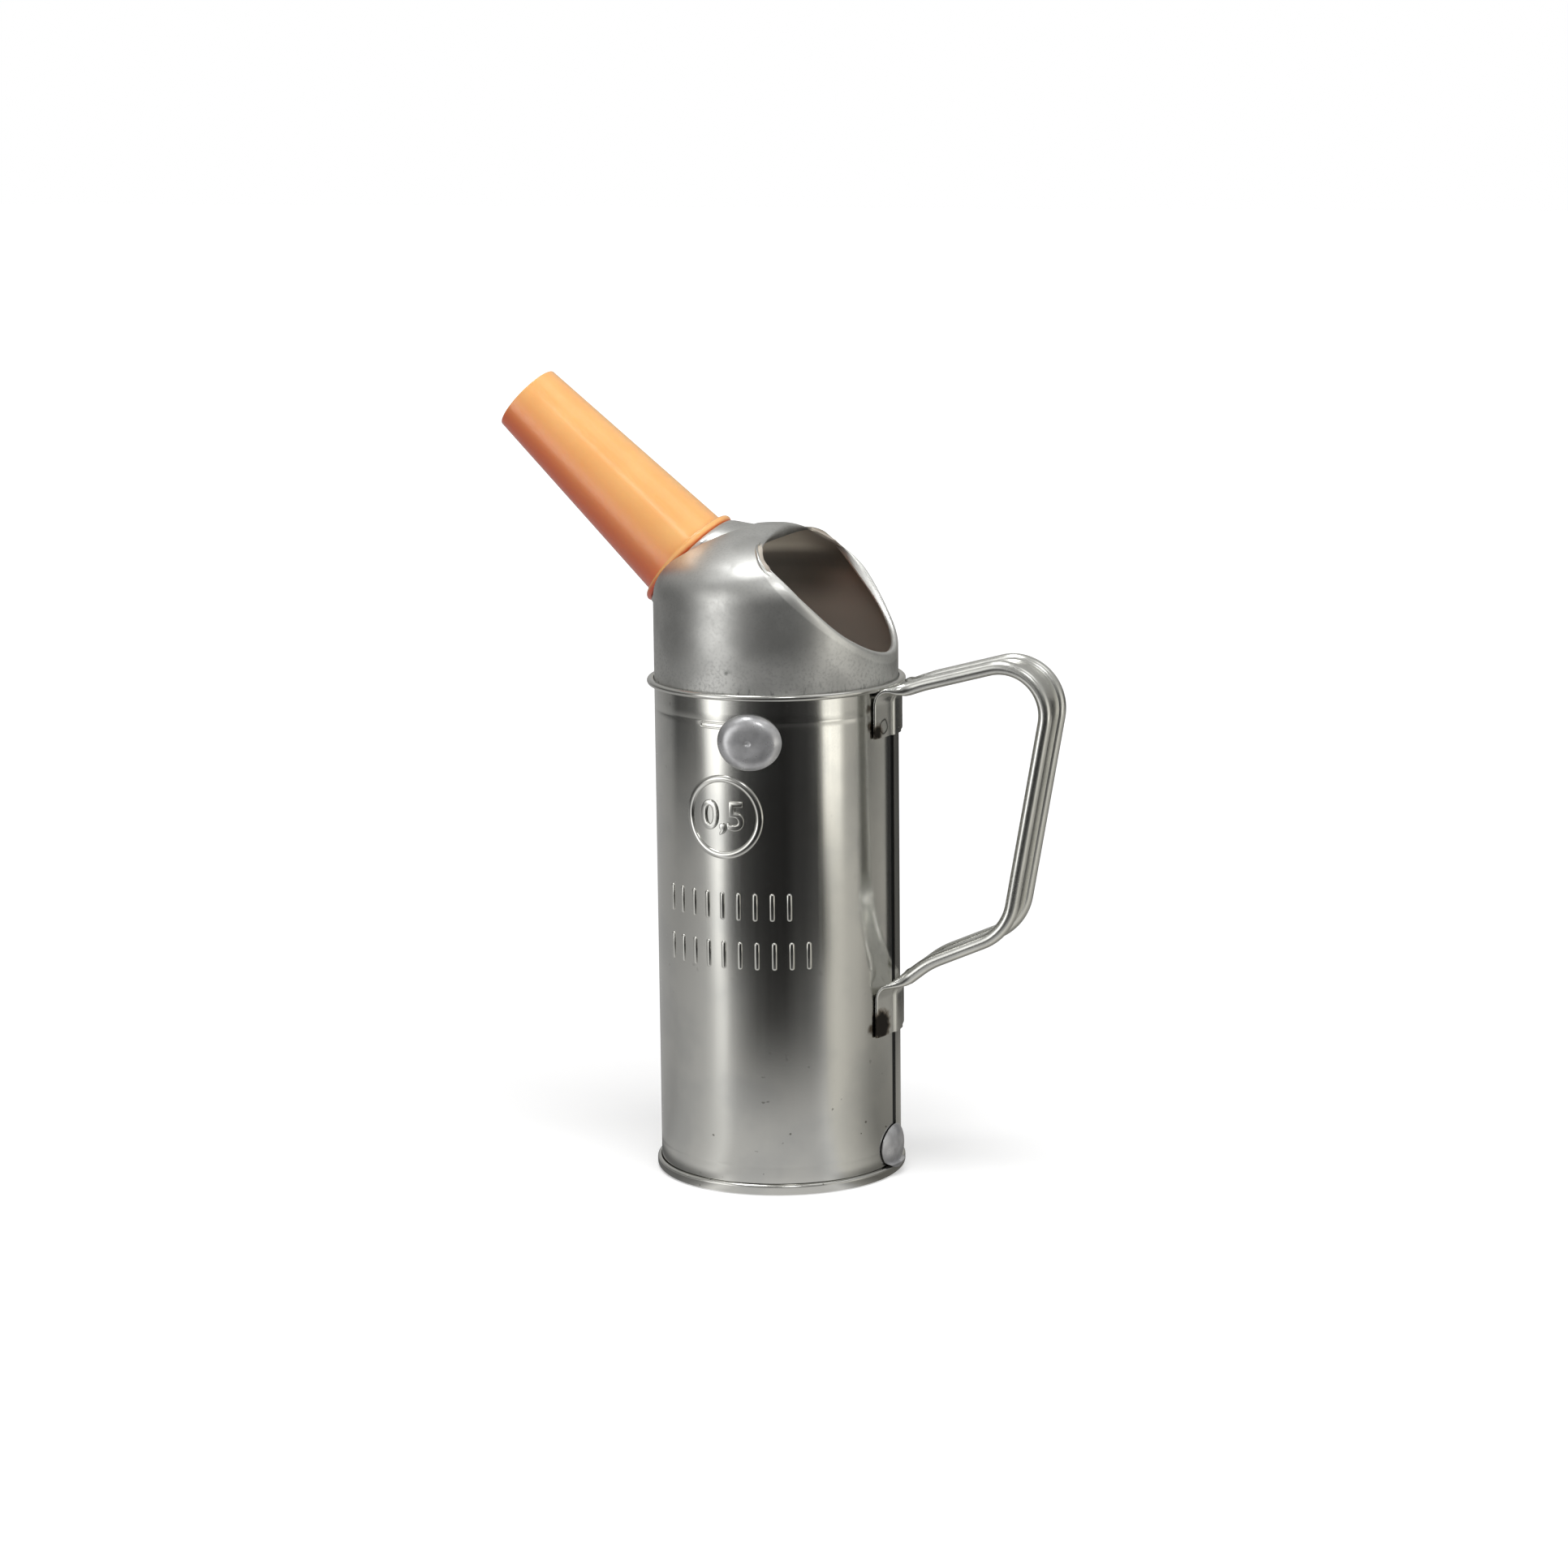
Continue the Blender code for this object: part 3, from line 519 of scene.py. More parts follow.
@dataclass(frozen=True)
class PolishedStrap:
    """The handle's strip: bright, faintly drawn along its length, scorched at the welds, with dark
    spots on its lugs that are scorch and painted shadow.
    """

    colour: Colour = (0.75, 0.75, 0.715)
    cloud_colour: Colour = (0.68, 0.68, 0.65)
    scorch_colour: Colour = (0.20, 0.135, 0.07)
    # Black of the weld rings and of the lugs' dark spots, which are scorch with painted shadow.
    burn_and_shadow_colour: Colour = (0.025, 0.022, 0.02)
    roughness: float = 0.17
    noise_roughness: float = 0.08
    weld_roughness: float = 0.15
    burn_and_shadow_roughness: float = 0.3
    cloud_scale: float = 90.0
    cloud_rise: Span = (0.4, 0.7)
    grain_scale: float = 1400.0
    ragged_scale: float = 700.0
    relief: float = 0.002 * MM
    relief_strength: float = 0.3
    scorch_growth: float = 1.2
    scorch_soft: float = 1.8 * MM
    scorch_share: float = 0.7
    burn_and_shadow_share: float = 0.95
    weld_radius: float = 2.2 * MM
    weld_line: float = 0.5 * MM
    weld_share: float = 0.85
    burns_and_shadows: tuple = ()
    welds: tuple = ()

    def build(self) -> bpy.types.Material:
        """Make the material.

        Returns:
            The material, for the pieces that wear it.
        """
        mat, graph = new_graph("polished_strap")
        place = graph.place()
        cloud = graph.noise(place, self.cloud_scale, 3.0)
        grain = graph.noise(place, self.grain_scale)
        ragged = graph.noise(place, self.ragged_scale, 3.0)
        colour = graph.blend(cloud.rise(*self.cloud_rise), self.colour, self.cloud_colour)
        rough = (cloud + grain) * self.noise_roughness + self.roughness
        for centre in self.welds:
            outer = graph.spot(centre, self.weld_radius, self.weld_line, ragged)
            inner = graph.spot(centre, self.weld_radius - self.weld_line, self.weld_line, ragged)
            colour = graph.blend((outer - inner) * self.weld_share, colour, self.burn_and_shadow_colour)
            rough = rough + outer * self.weld_roughness
        # Dark spots on the lugs: a brown scorch ring round a black core of scorch and painted shadow.
        for centre, radius in self.burns_and_shadows:
            scorch = graph.spot(centre, radius * self.scorch_growth, self.scorch_soft, ragged)
            burn_and_shadow = graph.spot(centre, radius, self.scorch_soft, ragged)
            colour = graph.blend(scorch * self.scorch_share, colour, self.scorch_colour)
            colour = graph.blend(burn_and_shadow * self.burn_and_shadow_share, colour, self.burn_and_shadow_colour)
            rough = rough + burn_and_shadow * self.burn_and_shadow_roughness
        relief = graph.bump(grain, self.relief, self.relief_strength)
        graph.surface({"Base Color": colour, "Metallic": 1.0, "Roughness": rough, "Normal": relief})
        return mat


@dataclass(frozen=True)
class OrangePlastic:
    """The spout's moulded plastic: glossy, slightly cloudy, with painted shade that turns it redder
    where it faces down.
    """

    colour: Colour = (0.91, 0.475, 0.165)
    cloud_colour: Colour = (0.90, 0.43, 0.14)
    underside_shade_colour: Colour = (1.0, 0.11, 0.025)
    underside_shade_rise: Span = (0.45, -0.75)
    underside_shade_cloud: float = 0.3
    roughness: float = 0.29
    cloud_roughness: float = 0.12
    grain_roughness: float = 0.06
    cloud_scale: float = 60.0
    cloud_rise: Span = (0.35, 0.7)
    cloud_weight: float = 0.8
    grain_scale: float = 700.0
    grain_weight: float = 0.6
    relief: float = 0.02 * MM
    relief_strength: float = 0.3
    coat_rise: Span = (0.2, 0.6)
    coat_least: float = 0.3
    coat_gain: float = 0.5
    coat_roughness: float = 0.16
    depth_share: float = 0.2
    depth_colour: Colour = (1.0, 0.35, 0.12)
    depth: float = 3.0 * MM
    refraction: float = 1.5

    def build(self) -> bpy.types.Material:
        """Make the material.

        Returns:
            The material, for the pieces that wear it.
        """
        mat, graph = new_graph("orange_plastic")
        place = graph.place()
        cloud = graph.noise(place, self.cloud_scale, 4.0)
        grain = graph.noise(place, self.grain_scale, 3.0)
        colour = graph.blend(cloud.rise(*self.cloud_rise), self.colour, self.cloud_colour)
        normal = graph.node("ShaderNodeNewGeometry", {}, {}).outputs["Normal"]
        _, _, up = graph.parts(normal)
        # Painted shade: the colour turns deep red where the surface faces down.
        low = (up + (cloud - 0.5) * self.underside_shade_cloud).rise(*self.underside_shade_rise)
        height = grain * self.grain_weight + cloud * self.cloud_weight
        rough = cloud * self.cloud_roughness + grain * self.grain_roughness + self.roughness
        graph.surface(
            {
                "Base Color": graph.blend(low, colour, self.underside_shade_colour),
                "Roughness": rough,
                "Normal": graph.bump(height, self.relief, self.relief_strength),
                "Subsurface Weight": self.depth_share,
                "Subsurface Radius": self.depth_colour,
                "Subsurface Scale": self.depth,
                "IOR": self.refraction,
                "Coat Weight": grain.rise(*self.coat_rise) * self.coat_gain + self.coat_least,
                "Coat Roughness": self.coat_roughness,
            }
        )
        return mat


@dataclass(frozen=True)
class Solder:
    """Cast drops of soft solder: dull lead grey with small dents."""

    colour: Colour = (0.60, 0.60, 0.61)
    dull_colour: Colour = (0.46, 0.46, 0.47)
    metal: float = 0.7
    roughness: float = 0.16
    cloud_roughness: float = 0.2
    dent_roughness: float = 0.08
    cloud_scale: float = 260.0
    cloud_rise: Span = (0.38, 0.66)
    cloud_weight: float = 0.8
    dent_scale: float = 900.0
    dent_weight: float = 0.35
    relief: float = 0.12 * MM
    relief_strength: float = 0.4

    def build(self) -> bpy.types.Material:
        """Make the material.

        Returns:
            The material, for the pieces that wear it.
        """
        mat, graph = new_graph("solder")
        place = graph.place()
        cloud = graph.noise(place, self.cloud_scale, 4.0)
        dent = graph.noise(place, self.dent_scale)
        height = cloud * self.cloud_weight + dent * self.dent_weight
        rough = cloud * self.cloud_roughness + dent * self.dent_roughness + self.roughness
        graph.surface(
            {
                "Base Color": graph.blend(
                    cloud.rise(*self.cloud_rise), self.colour, self.dull_colour
                ),
                "Metallic": self.metal,
                "Roughness": rough,
                "Normal": graph.bump(height, self.relief, self.relief_strength),
            }
        )
        return mat


def deselect() -> None:
    """Leave edit mode and select nothing."""
    if bpy.context.object and bpy.context.object.mode == "EDIT":
        bpy.ops.object.mode_set(mode="OBJECT")
    bpy.ops.object.select_all(action="DESELECT")


def pick(piece: bpy.types.Object) -> None:
    """Select one object alone and make it the active one.

    Args:
        piece: The object.
    """
    deselect()
    piece.select_set(True)
    bpy.context.view_layer.objects.active = piece


def select_faces(
    piece: bpy.types.Object, rule: Callable[[bpy.types.MeshPolygon], bool]
) -> None:
    """Enter edit mode with only the faces selected that a rule accepts.

    Args:
        piece: The piece.
        rule: Tells whether a face is wanted, by its place and normal.
    """
    pick(piece)
    bpy.ops.object.mode_set(mode="EDIT")
    bpy.ops.mesh.select_mode(type="FACE")
    bpy.ops.mesh.select_all(action="DESELECT")
    bpy.ops.object.mode_set(mode="OBJECT")
    for face in piece.data.polygons:
        face.select = rule(face)
    bpy.ops.object.mode_set(mode="EDIT")


def clean(piece: bpy.types.Object) -> None:
    """Merge doubles and turn the faces outwards.

    Args:
        piece: The piece.
    """
    pick(piece)
    bpy.ops.object.mode_set(mode="EDIT")
    bpy.ops.mesh.select_all(action="SELECT")
    bpy.ops.mesh.remove_doubles(threshold=MERGE)
    bpy.ops.mesh.dissolve_degenerate(threshold=MERGE)
    bpy.ops.mesh.normals_make_consistent(inside=False)
    bpy.ops.object.mode_set(mode="OBJECT")


def settle(piece: bpy.types.Object) -> None:
    """Apply the object's place, so that it lies in the mesh."""
    pick(piece)
    bpy.ops.object.transform_apply(location=True, rotation=True, scale=True)


def apply_modifiers(piece: bpy.types.Object) -> None:
    """Apply every modifier of a piece.

    Args:
        piece: The piece.
    """
    pick(piece)
    for modifier in list(piece.modifiers):
        bpy.ops.object.modifier_apply(modifier=modifier.name)


def smooth(piece: bpy.types.Object, angle: float) -> None:
    """Shade smooth, but keep edges that are sharper than an angle."""
    pick(piece)
    bpy.ops.object.shade_smooth_by_angle(angle=angle)


def arc(centre: tuple[float, float], radius: float, start: float, end: float, steps: int) -> Profile:
    """Points of a round stretch of a profile, both ends included."""
    turns = [start + (end - start) * i / steps for i in range(steps + 1)]
    return [(centre[0] + radius * math.cos(t), centre[1] + radius * math.sin(t)) for t in turns]


def smooth_step(value: float) -> float:
    """0 below 0, 1 above 1, and an even S between."""
    clamped = min(max(value, 0.0), 1.0)
    return clamped * clamped * (3.0 - 2.0 * clamped)


def turned(name: str, profile: Profile, columns: int) -> bpy.types.Object:
    """Turn a closed profile about the Z axis, ring by ring, from a circle.

    Args:
        name: Name of the piece.
        profile: Radius and height of each ring; a ring of no radius is the centre.
        columns: Faces round the axis.

    Returns:
        The closed piece.
    """
    deselect()
    start = next(i for i, point in enumerate(profile) if point[0] > MERGE)
    rings = profile[start:] + profile[:start]
    radius, height = rings[0]
    bpy.ops.mesh.primitive_circle_add(vertices=columns, radius=radius, fill_type="NOTHING")
    piece = bpy.context.object
    piece.name = name
    bpy.ops.object.mode_set(mode="EDIT")
    bpy.ops.mesh.select_all(action="SELECT")
    bpy.ops.transform.translate(value=(0.0, 0.0, height))
    for next_radius, next_height in rings[1:] + rings[:1]:
        next_radius = max(next_radius, AXIS_RADIUS)
        rise = (0.0, 0.0, next_height - height)
        bpy.ops.mesh.extrude_edges_move(TRANSFORM_OT_translate={"value": rise})
        share = next_radius / radius
        centre = (0.0, 0.0, next_height)
        bpy.ops.transform.resize(value=(share, share, 1.0), center_override=centre)
        radius, height = next_radius, next_height
    bpy.ops.object.mode_set(mode="OBJECT")
    clean(piece)
    return piece


def shaped_grid(
    name: str, columns: int, rows: int, place: Callable[[int, int], Vector]
) -> bpy.types.Object:
    """A grid whose points are moved to where a rule puts them.

    Args:
        name: Name of the piece.
        columns: Faces in the grid's first direction.
        rows: Faces in its second direction.
        place: The rule, from a point's column and row.

    Returns:
        The open or closed sheet.
    """
    deselect()
    bpy.ops.mesh.primitive_grid_add(x_subdivisions=columns, y_subdivisions=rows, size=1.0)
    piece = bpy.context.object
    piece.name = name
    for vertex in piece.data.vertices:
        column = round((vertex.co.x + 0.5) * columns)
        row = round((vertex.co.y + 0.5) * rows)
        vertex.co = place(column, row)
    return piece


def joined(name: str, pieces: Sequence[bpy.types.Object]) -> bpy.types.Object:
    """Join pieces into the first one.

    Args:
        name: Name of the whole.
        pieces: The pieces.

    Returns:
        The whole.
    """
    pick(pieces[0])
    for piece in pieces[1:]:
        piece.select_set(True)
    bpy.ops.object.join()
    whole = bpy.context.object
    whole.name = name
    return whole


def wrap(piece: bpy.types.Object, radius: float, angle: float, height: float) -> None:
    """Lay a flat piece on an upright cylinder.

    Args:
        piece: Drawn across X, up Y and proud along Z.
        radius: Radius of the cylinder.
        angle: Where its origin goes round the axis.
        height: Where its origin goes up the axis.
    """
    for vertex in piece.data.vertices:
        across, up, proud = vertex.co
        turn = angle + across / radius
        reach = radius + proud
        vertex.co = (reach * math.cos(turn), reach * math.sin(turn), height + up)


def on_wall(radius: float, across: float, height: float) -> Vector:
    """A point of an upright round wall, on the handle's side."""
    return Vector((math.sqrt(radius**2 - across**2), across, height))


def spots_on(radius: float, places: Sequence[Triple]) -> Spots:
    """Centres on an upright round wall, each with the radius of its spot."""
    return tuple((on_wall(radius, across, height), size) for across, height, size in places)


@dataclass
class Piece:
    """A finished piece with what it rides on, stands for and takes its finish from."""

    mesh: bpy.types.Object
    finish: bpy.types.Material
    body: Body
    slot: Slot
    node: str | None = None

    def fit(self) -> None:
        """Dress the piece and hand it to the frame."""
        self.mesh.data.materials.clear()
        self.mesh.data.materials.append(self.finish)
        if self.node:
            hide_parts(self.node)
        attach(self.mesh, self.body.value)
        count = len(self.mesh.data.polygons)
        log.info("%s rides on %s: %d faces", self.mesh.name, self.body.value, count)


@dataclass
class Tube:
    """The rolled tube: wall, lock seam and the rim that clamps the hood.

    Each dark spot beside a lug is painted shadow of the gap and of the lug's edge; its place is
    its distance across the handle's side, its height and its radius.
    """

    radius: float = 35.0 * MM
    sheet: float = 0.4 * MM
    gap: float = 0.3 * MM
    rim_height: float = 143.5 * MM
    rim_reach: float = 2.13 * MM
    rim_ledge: float = 0.45 * MM
    seam_angles: Span = (math.radians(-3.0), math.radians(1.5))
    seam_depth: float = 0.3 * MM
    seam_margin: float = 1.0 * MM
    chime_height: float = 3.2 * MM
    line_heights: Span = (8.2 * MM, 136.2 * MM)
    line_width: float = 0.8 * MM
    line_depth: float = 0.04 * MM
    ring_step: float = 4.0 * MM
    burn_and_shadow_places: tuple[Triple, ...] = (
        (-12.6 * MM, 133.0 * MM, 1.3 * MM),
        (-12.8 * MM, 138.0 * MM, 1.1 * MM),
        (-12.9 * MM, 45.5 * MM, 1.3 * MM),
    )
    columns: int = 240
    arc_steps: int = 14
    lip_steps: int = 4
    sharp: float = math.radians(42.0)

    def rim_half(self) -> float:
        """Half the height of the rolled rim: three layers of sheet with two gaps."""
        return 1.5 * self.sheet + self.gap

    def foot(self) -> float:
        """Height of the tube's lower edge."""
        return self.sheet + self.gap

    def burns_and_shadows(self) -> Spots:
        """Spots of painted shadow on the wall, in the gaps beside the handle's lugs."""
        return spots_on(self.radius, self.burn_and_shadow_places)

    def wall(self, low: float, high: float) -> Profile:
        """Rings up the outside, with the two pressed lines.

        Args:
            low: Height of the first ring.
            high: Height of the last ring.

        Returns:
            Radius and height of each ring.
        """
        marks = [low, self.chime_height + self.seam_margin, high - self.seam_margin, high]
        for line in self.line_heights:
            marks += [line - self.line_width / 2.0, line, line + self.line_width / 2.0]
        count = int((high - low) / self.ring_step)
        marks += [low + (high - low) * i / count for i in range(1, count)]
        rings = []
        for height in sorted(marks):
            pressed = any(abs(height - line) < MERGE for line in self.line_heights)
            rings.append((self.radius - (self.line_depth if pressed else 0.0), height))
        return rings

    def profile(self) -> Profile:
        """The whole wall's outline, up the outside and down the inside.

        Returns:
            Radius and height of each ring.
        """
        half = self.rim_half()
        top = self.rim_height + half
        inner = self.radius - self.sheet
        lip = self.radius + self.rim_ledge
        edge = self.sheet / 2.0
        bead = (self.radius + self.rim_reach - half, self.rim_height)
        outline = self.wall(self.foot(), self.rim_height - half)
        outline += arc(bead, half, -QUARTER, QUARTER, self.arc_steps)
        outline += [(lip, top)]
        outline += arc((lip, top - edge), edge, QUARTER, 3.0 * QUARTER, self.lip_steps)[1:]
        outline += [(lip, top - self.sheet)]
        outline += arc(bead, half - self.sheet, QUARTER, -QUARTER, self.arc_steps)
        outline += [(inner, self.rim_height - half + self.sheet), (inner, self.foot())]
        return outline

    def press_seam(self, tube: bpy.types.Object) -> None:
        """Move the lock seam's strip of the outside inwards.

        Args:
            tube: The turned tube.
        """
        start, end = self.seam_angles
        low = self.chime_height + self.seam_margin
        high = self.rim_height - self.rim_half() - self.seam_margin
        middle = self.radius - self.sheet / 2.0

        def wanted(face: bpy.types.MeshPolygon) -> bool:
            """Whether a face is in the strip."""
            x, y, z = face.center
            if abs(face.normal.z) > LEVEL_NORMAL or math.hypot(x, y) < middle:
                return False
            tall = max(tube.data.vertices[i].co.z for i in face.vertices)
            return start < math.atan2(y, x) < end and z > low and tall < high

        select_faces(tube, wanted)
        inwards = (-self.seam_depth, 0.0, 0.0)
        bpy.ops.mesh.extrude_region_move(TRANSFORM_OT_translate={"value": inwards})
        bpy.ops.object.mode_set(mode="OBJECT")

    def build(self) -> bpy.types.Object:
        """Model the tube.

        Returns:
            The finished mesh.
        """
        tube = turned("tube", self.profile(), self.columns)
        self.press_seam(tube)
        clean(tube)
        smooth(tube, self.sharp)
        return tube


@dataclass
class Base:
    """The recessed bottom with the ring that is folded round the tube's foot."""

    tube: Tube
    reach: float = 1.25 * MM
    height: float = 3.2 * MM
    rounding: float = 0.8 * MM
    toe_rounding: float = 0.4 * MM
    foot_rounding: float = 1.3 * MM
    recess: float = 2.6 * MM
    corner: float = 0.8 * MM
    arc_steps: int = 8
    plate_rings: int = 6
    sharp: float = math.radians(42.0)

    def profile(self) -> Profile:
        """The base's outline from the middle of its underside.

        Returns:
            Radius and height of each ring.
        """
        tube, steps = self.tube, self.arc_steps
        outer = tube.radius + self.reach
        inner = tube.radius - tube.sheet - tube.gap
        wall = inner - tube.sheet
        edge = wall - self.corner
        toe, foot, top = self.toe_rounding, self.foot_rounding, self.rounding
        outline = [(0.0, self.recess)]
        outline += [(edge * i / self.plate_rings, self.recess) for i in range(1, self.plate_rings)]
        outline += arc((edge, self.recess - self.corner), self.corner, QUARTER, 0.0, steps)
        outline += arc((wall + toe, toe), toe, math.pi, 3.0 * QUARTER, steps)
        outline += arc((outer - foot, foot), foot, -QUARTER, 0.0, steps)
        outline += arc((outer - top, self.height - top), top, 0.0, QUARTER, steps)
        slot = tube.radius + tube.gap
        outline += [(slot, self.height), (slot, tube.sheet), (inner, tube.sheet)]
        outline += [(inner, self.recess + tube.sheet), (0.0, self.recess + tube.sheet)]
        return outline

    def build(self) -> bpy.types.Object:
        """Model the base.

        Returns:
            The finished mesh.
        """
        base = turned("base", self.profile(), self.tube.columns)
        smooth(base, self.sharp)
        return base


@dataclass
class Hood:
    """The drawn hood: skirt, crown, the mouth with its brim, and the spout's neck."""

    tube: Tube
    dome_rise: float = 44.6 * MM
    crown: float = 55.0 * MM
    knuckle: float = 12.0 * MM
    skirt_rise: float = 4.5 * MM
    ridge_offset: float = 2.0 * MM
    mouth_top_offset: float = 2.3 * MM
    mouth_top_rise: float = 40.9 * MM
    mouth_foot_inset: float = 2.0 * MM
    mouth_foot_rise: float = 8.9 * MM
    mouth_side_inset: float = 1.9 * MM
    mouth_centre_share: float = 0.58
    mouth_corner_power: float = 4.6
    mouth_side_share: float = 0.68
    brim_side: float = 2.0 * MM
    brim_top: float = 3.6 * MM
    brim_rise_side: float = 1.3 * MM
    brim_rise_top: float = 2.2 * MM
    brim_rise_upper: float = 2.2 * MM
    pinch_share: float = 0.045
    upper_start: float = 0.5
    upper_span: float = 0.9
    roll_radius: float = 0.55 * MM
    roll_turn: float = math.radians(215.0)
    roll_steps: int = 9
    tilt: float = math.radians(42.4)
    neck_inset: float = 9.7 * MM
    neck_rise: float = 32.8 * MM
    neck_radius: float = 16.3 * MM
    collar: float = 1.0 * MM
    swell: float = 0.9 * MM
    flare: float = math.radians(38.0)
    swell_start: float = 0.6
    crease: float = 0.5 * MM
    crease_start: float = 0.3
    columns: int = 240
    dome_rows: int = 28
    brim_rows: int = 10
    flare_rows: int = 8
    flange_steps: int = 8
    halvings: int = 40
    trace: float = math.radians(0.5)
    sharp: float = math.radians(50.0)

    def __post_init__(self) -> None:
        """Work out the heights, the radii and the angle that the other sizes give."""
        self.top = self.tube.rim_height + self.dome_rise
        self.skirt = self.tube.rim_height + self.skirt_rise
        self.shoulder_radius = self.tube.radius - self.knuckle
        self.crown_height = self.top - self.crown
        self.rise = math.sqrt((self.crown - self.knuckle) ** 2 - self.shoulder_radius**2)
        self.half = math.acos(-self.ridge_offset / self.tube.radius)
        self.side_radius = self.tube.radius - self.mouth_side_inset

    def contact(self, point: Vector) -> tuple[Vector, Vector]:
        """The nearest point of the plain dome and its outward direction.

        Args:
            point: Any point near the dome.

        Returns:
            The point on the dome and the normal there.
        """
        shoulder_height = self.crown_height + self.rise
        across = math.hypot(point.x, point.y)
        around = Vector((point.x, point.y, 0.0)) / max(across, MERGE)
        if point.z <= shoulder_height:
            return around * self.tube.radius + UP * point.z, around
        crown = UP * self.crown_height
        if across * self.rise < self.shoulder_radius * (point.z - self.crown_height):
            normal = (point - crown).normalized()
            return crown + normal * self.crown, normal
        shoulder = around * self.shoulder_radius + UP * shoulder_height
        normal = (point - shoulder).normalized()
        return shoulder + normal * self.knuckle, normal

    def ridge(self, turn: float) -> Vector:
        """The line over the crown between mouth and neck, from +Y to -Y.

        Args:
            turn: 0 where it leaves the skirt on +Y, pi where it ends on -Y.

        Returns:
            The point of the dome there.
        """
        guide = Vector(
            (
                -self.ridge_offset,
                self.tube.radius * math.cos(turn),
                self.skirt + (self.top - self.skirt) * math.sin(turn),
            )
        )
        return self.contact(guide)[0]

    def skirt_point(self, angle: float) -> Vector:
        """A point where the skirt ends and the dome begins."""
        reach = self.tube.radius
        return Vector((reach * math.cos(angle), reach * math.sin(angle), self.skirt))

    def mouth_top(self) -> Vector:
        """The middle of the mouth's upper edge."""
        return Vector((self.mouth_top_offset, 0.0, self.tube.rim_height + self.mouth_top_rise))

    def mouth_frame(self) -> tuple[Vector, Vector, Vector]:
        """Centre of the mouth, its direction down the slope, and its normal.

        Returns:
            The three vectors, in that order.
        """
        top = self.mouth_top()
        foot = Vector(
            (
                self.tube.radius - self.mouth_foot_inset,
                0.0,
                self.tube.rim_height + self.mouth_foot_rise,
            )
        )
        down = (foot - top).normalized()
        normal = Vector((-down.z, 0.0, down.x))
        return top.lerp(foot, self.mouth_centre_share), down, normal

    def mouth_edge(self, turn: float) -> Vector:
        """The sheet's edge round the mouth, from the foot by the +Y side to the top.

        Args:
            turn: 0 at the foot, pi at the top.

        Returns:
            The point of the edge.
        """
        centre, down, _ = self.mouth_frame()
        across, along = math.sin(turn), math.cos(turn)
        radius = self.side_radius
        a = (down.x * along / radius) ** 2 + (across / radius) ** 2
        b = centre.x * down.x * along / radius**2
        c = (centre.x / radius) ** 2 - 1.0
        side = (-b + math.sqrt(b * b - a * c)) / a
        power = self.mouth_corner_power
        reach = side**-power
        if along < 0.0:
            reach += ((centre - self.mouth_top()).length / -along) ** -power
        distance = reach ** (-1.0 / power)
        narrow = 1.0 - self.pinch_share * self.upper(turn)
        return centre + down * (distance * along) + Vector((0.0, distance * across * narrow, 0.0))

    def upper(self, turn: float) -> float:
        """1 round the upper half of the mouth, 0 at its foot."""
        return smooth_step((self.upper_start - math.cos(turn)) / self.upper_span)

    def skirt_turn(self, angle: float) -> float:
        """Turn of the mouth's edge above a point of the skirt.

        Args:
            angle: The point's angle round the tube.

        Returns:
            The turn that mouth_edge takes.
        """
        centre, down, _ = self.mouth_frame()
        polar = angle * self.mouth_side_share
        across = self.side_radius * math.sin(polar)
        return math.atan2(across, (self.side_radius * math.cos(polar) - centre.x) / down.x)

    def brim(self, turn: float) -> list[Vector]:
        """Points from the dome round the brim to the sheet's edge.

        Args:
            turn: Where on the mouth's edge they end.

        Returns:
            The points in that order.
        """
        edge = self.mouth_edge(turn)
        along = self.mouth_edge(turn + self.trace) - self.mouth_edge(turn - self.trace)
        normal = self.mouth_frame()[2]
        share = max(0.0, -math.cos(turn)) ** 2
        upper = self.upper(turn) * abs(math.sin(turn))
        width = self.brim_side + (self.brim_top - self.brim_side) * share
        width += self.pinch_share * self.side_radius * upper
        rise = self.brim_rise_side + (self.brim_rise_top - self.brim_rise_side) * share
        rise += self.brim_rise_upper * upper
        start, surface = self.contact(edge + along.cross(normal).normalized() * width)
        tangent = (normal - surface * normal.dot(surface)).normalized()
        corner = start + tangent * (max((edge - start).dot(tangent), 0.0) + rise)
        shares = [i / self.brim_rows for i in range(self.brim_rows + 1)]
        points = [start.lerp(corner, t).lerp(corner.lerp(edge, t), t) for t in shares]
        rising = (edge - corner).normalized()
        outward = along.cross(normal).normalized()
        outward = (outward - rising * outward.dot(rising)).normalized()
        for i in range(1, self.roll_steps + 1):
            a = self.roll_turn * i / self.roll_steps
            lift = rising * (self.roll_radius * math.sin(a))
            points.append(edge + lift + outward * (self.roll_radius * (1.0 - math.cos(a))))
        return points

    def over_dome(self, start: Vector, end: Vector) -> list[Vector]:
        """Points over the dome from a start, which they take in, to an end, which they don't."""
        shares = [i / self.dome_rows for i in range(1, self.dome_rows)]
        return [start] + [self.contact(start.lerp(end, share))[0] for share in shares]

    def neck_frame(self) -> tuple[Vector, Vector, Vector]:
        """Seat of the spout, its outward axis and the upward direction across it.

        Returns:
            The three vectors, in that order.
        """
        tube = self.tube
        seat = Vector((self.neck_inset - tube.radius, 0.0, tube.rim_height + self.neck_rise))
        axis = Vector((-math.cos(self.tilt), 0.0, math.sin(self.tilt)))
        above = Vector((math.sin(self.tilt), 0.0, math.cos(self.tilt)))
        return seat, axis, above

    def neck_side(self, direction: Vector) -> float:
        """0 on the neck's lower side, 2 on its upper side."""
        return 1.0 + direction.dot(self.neck_frame()[2])

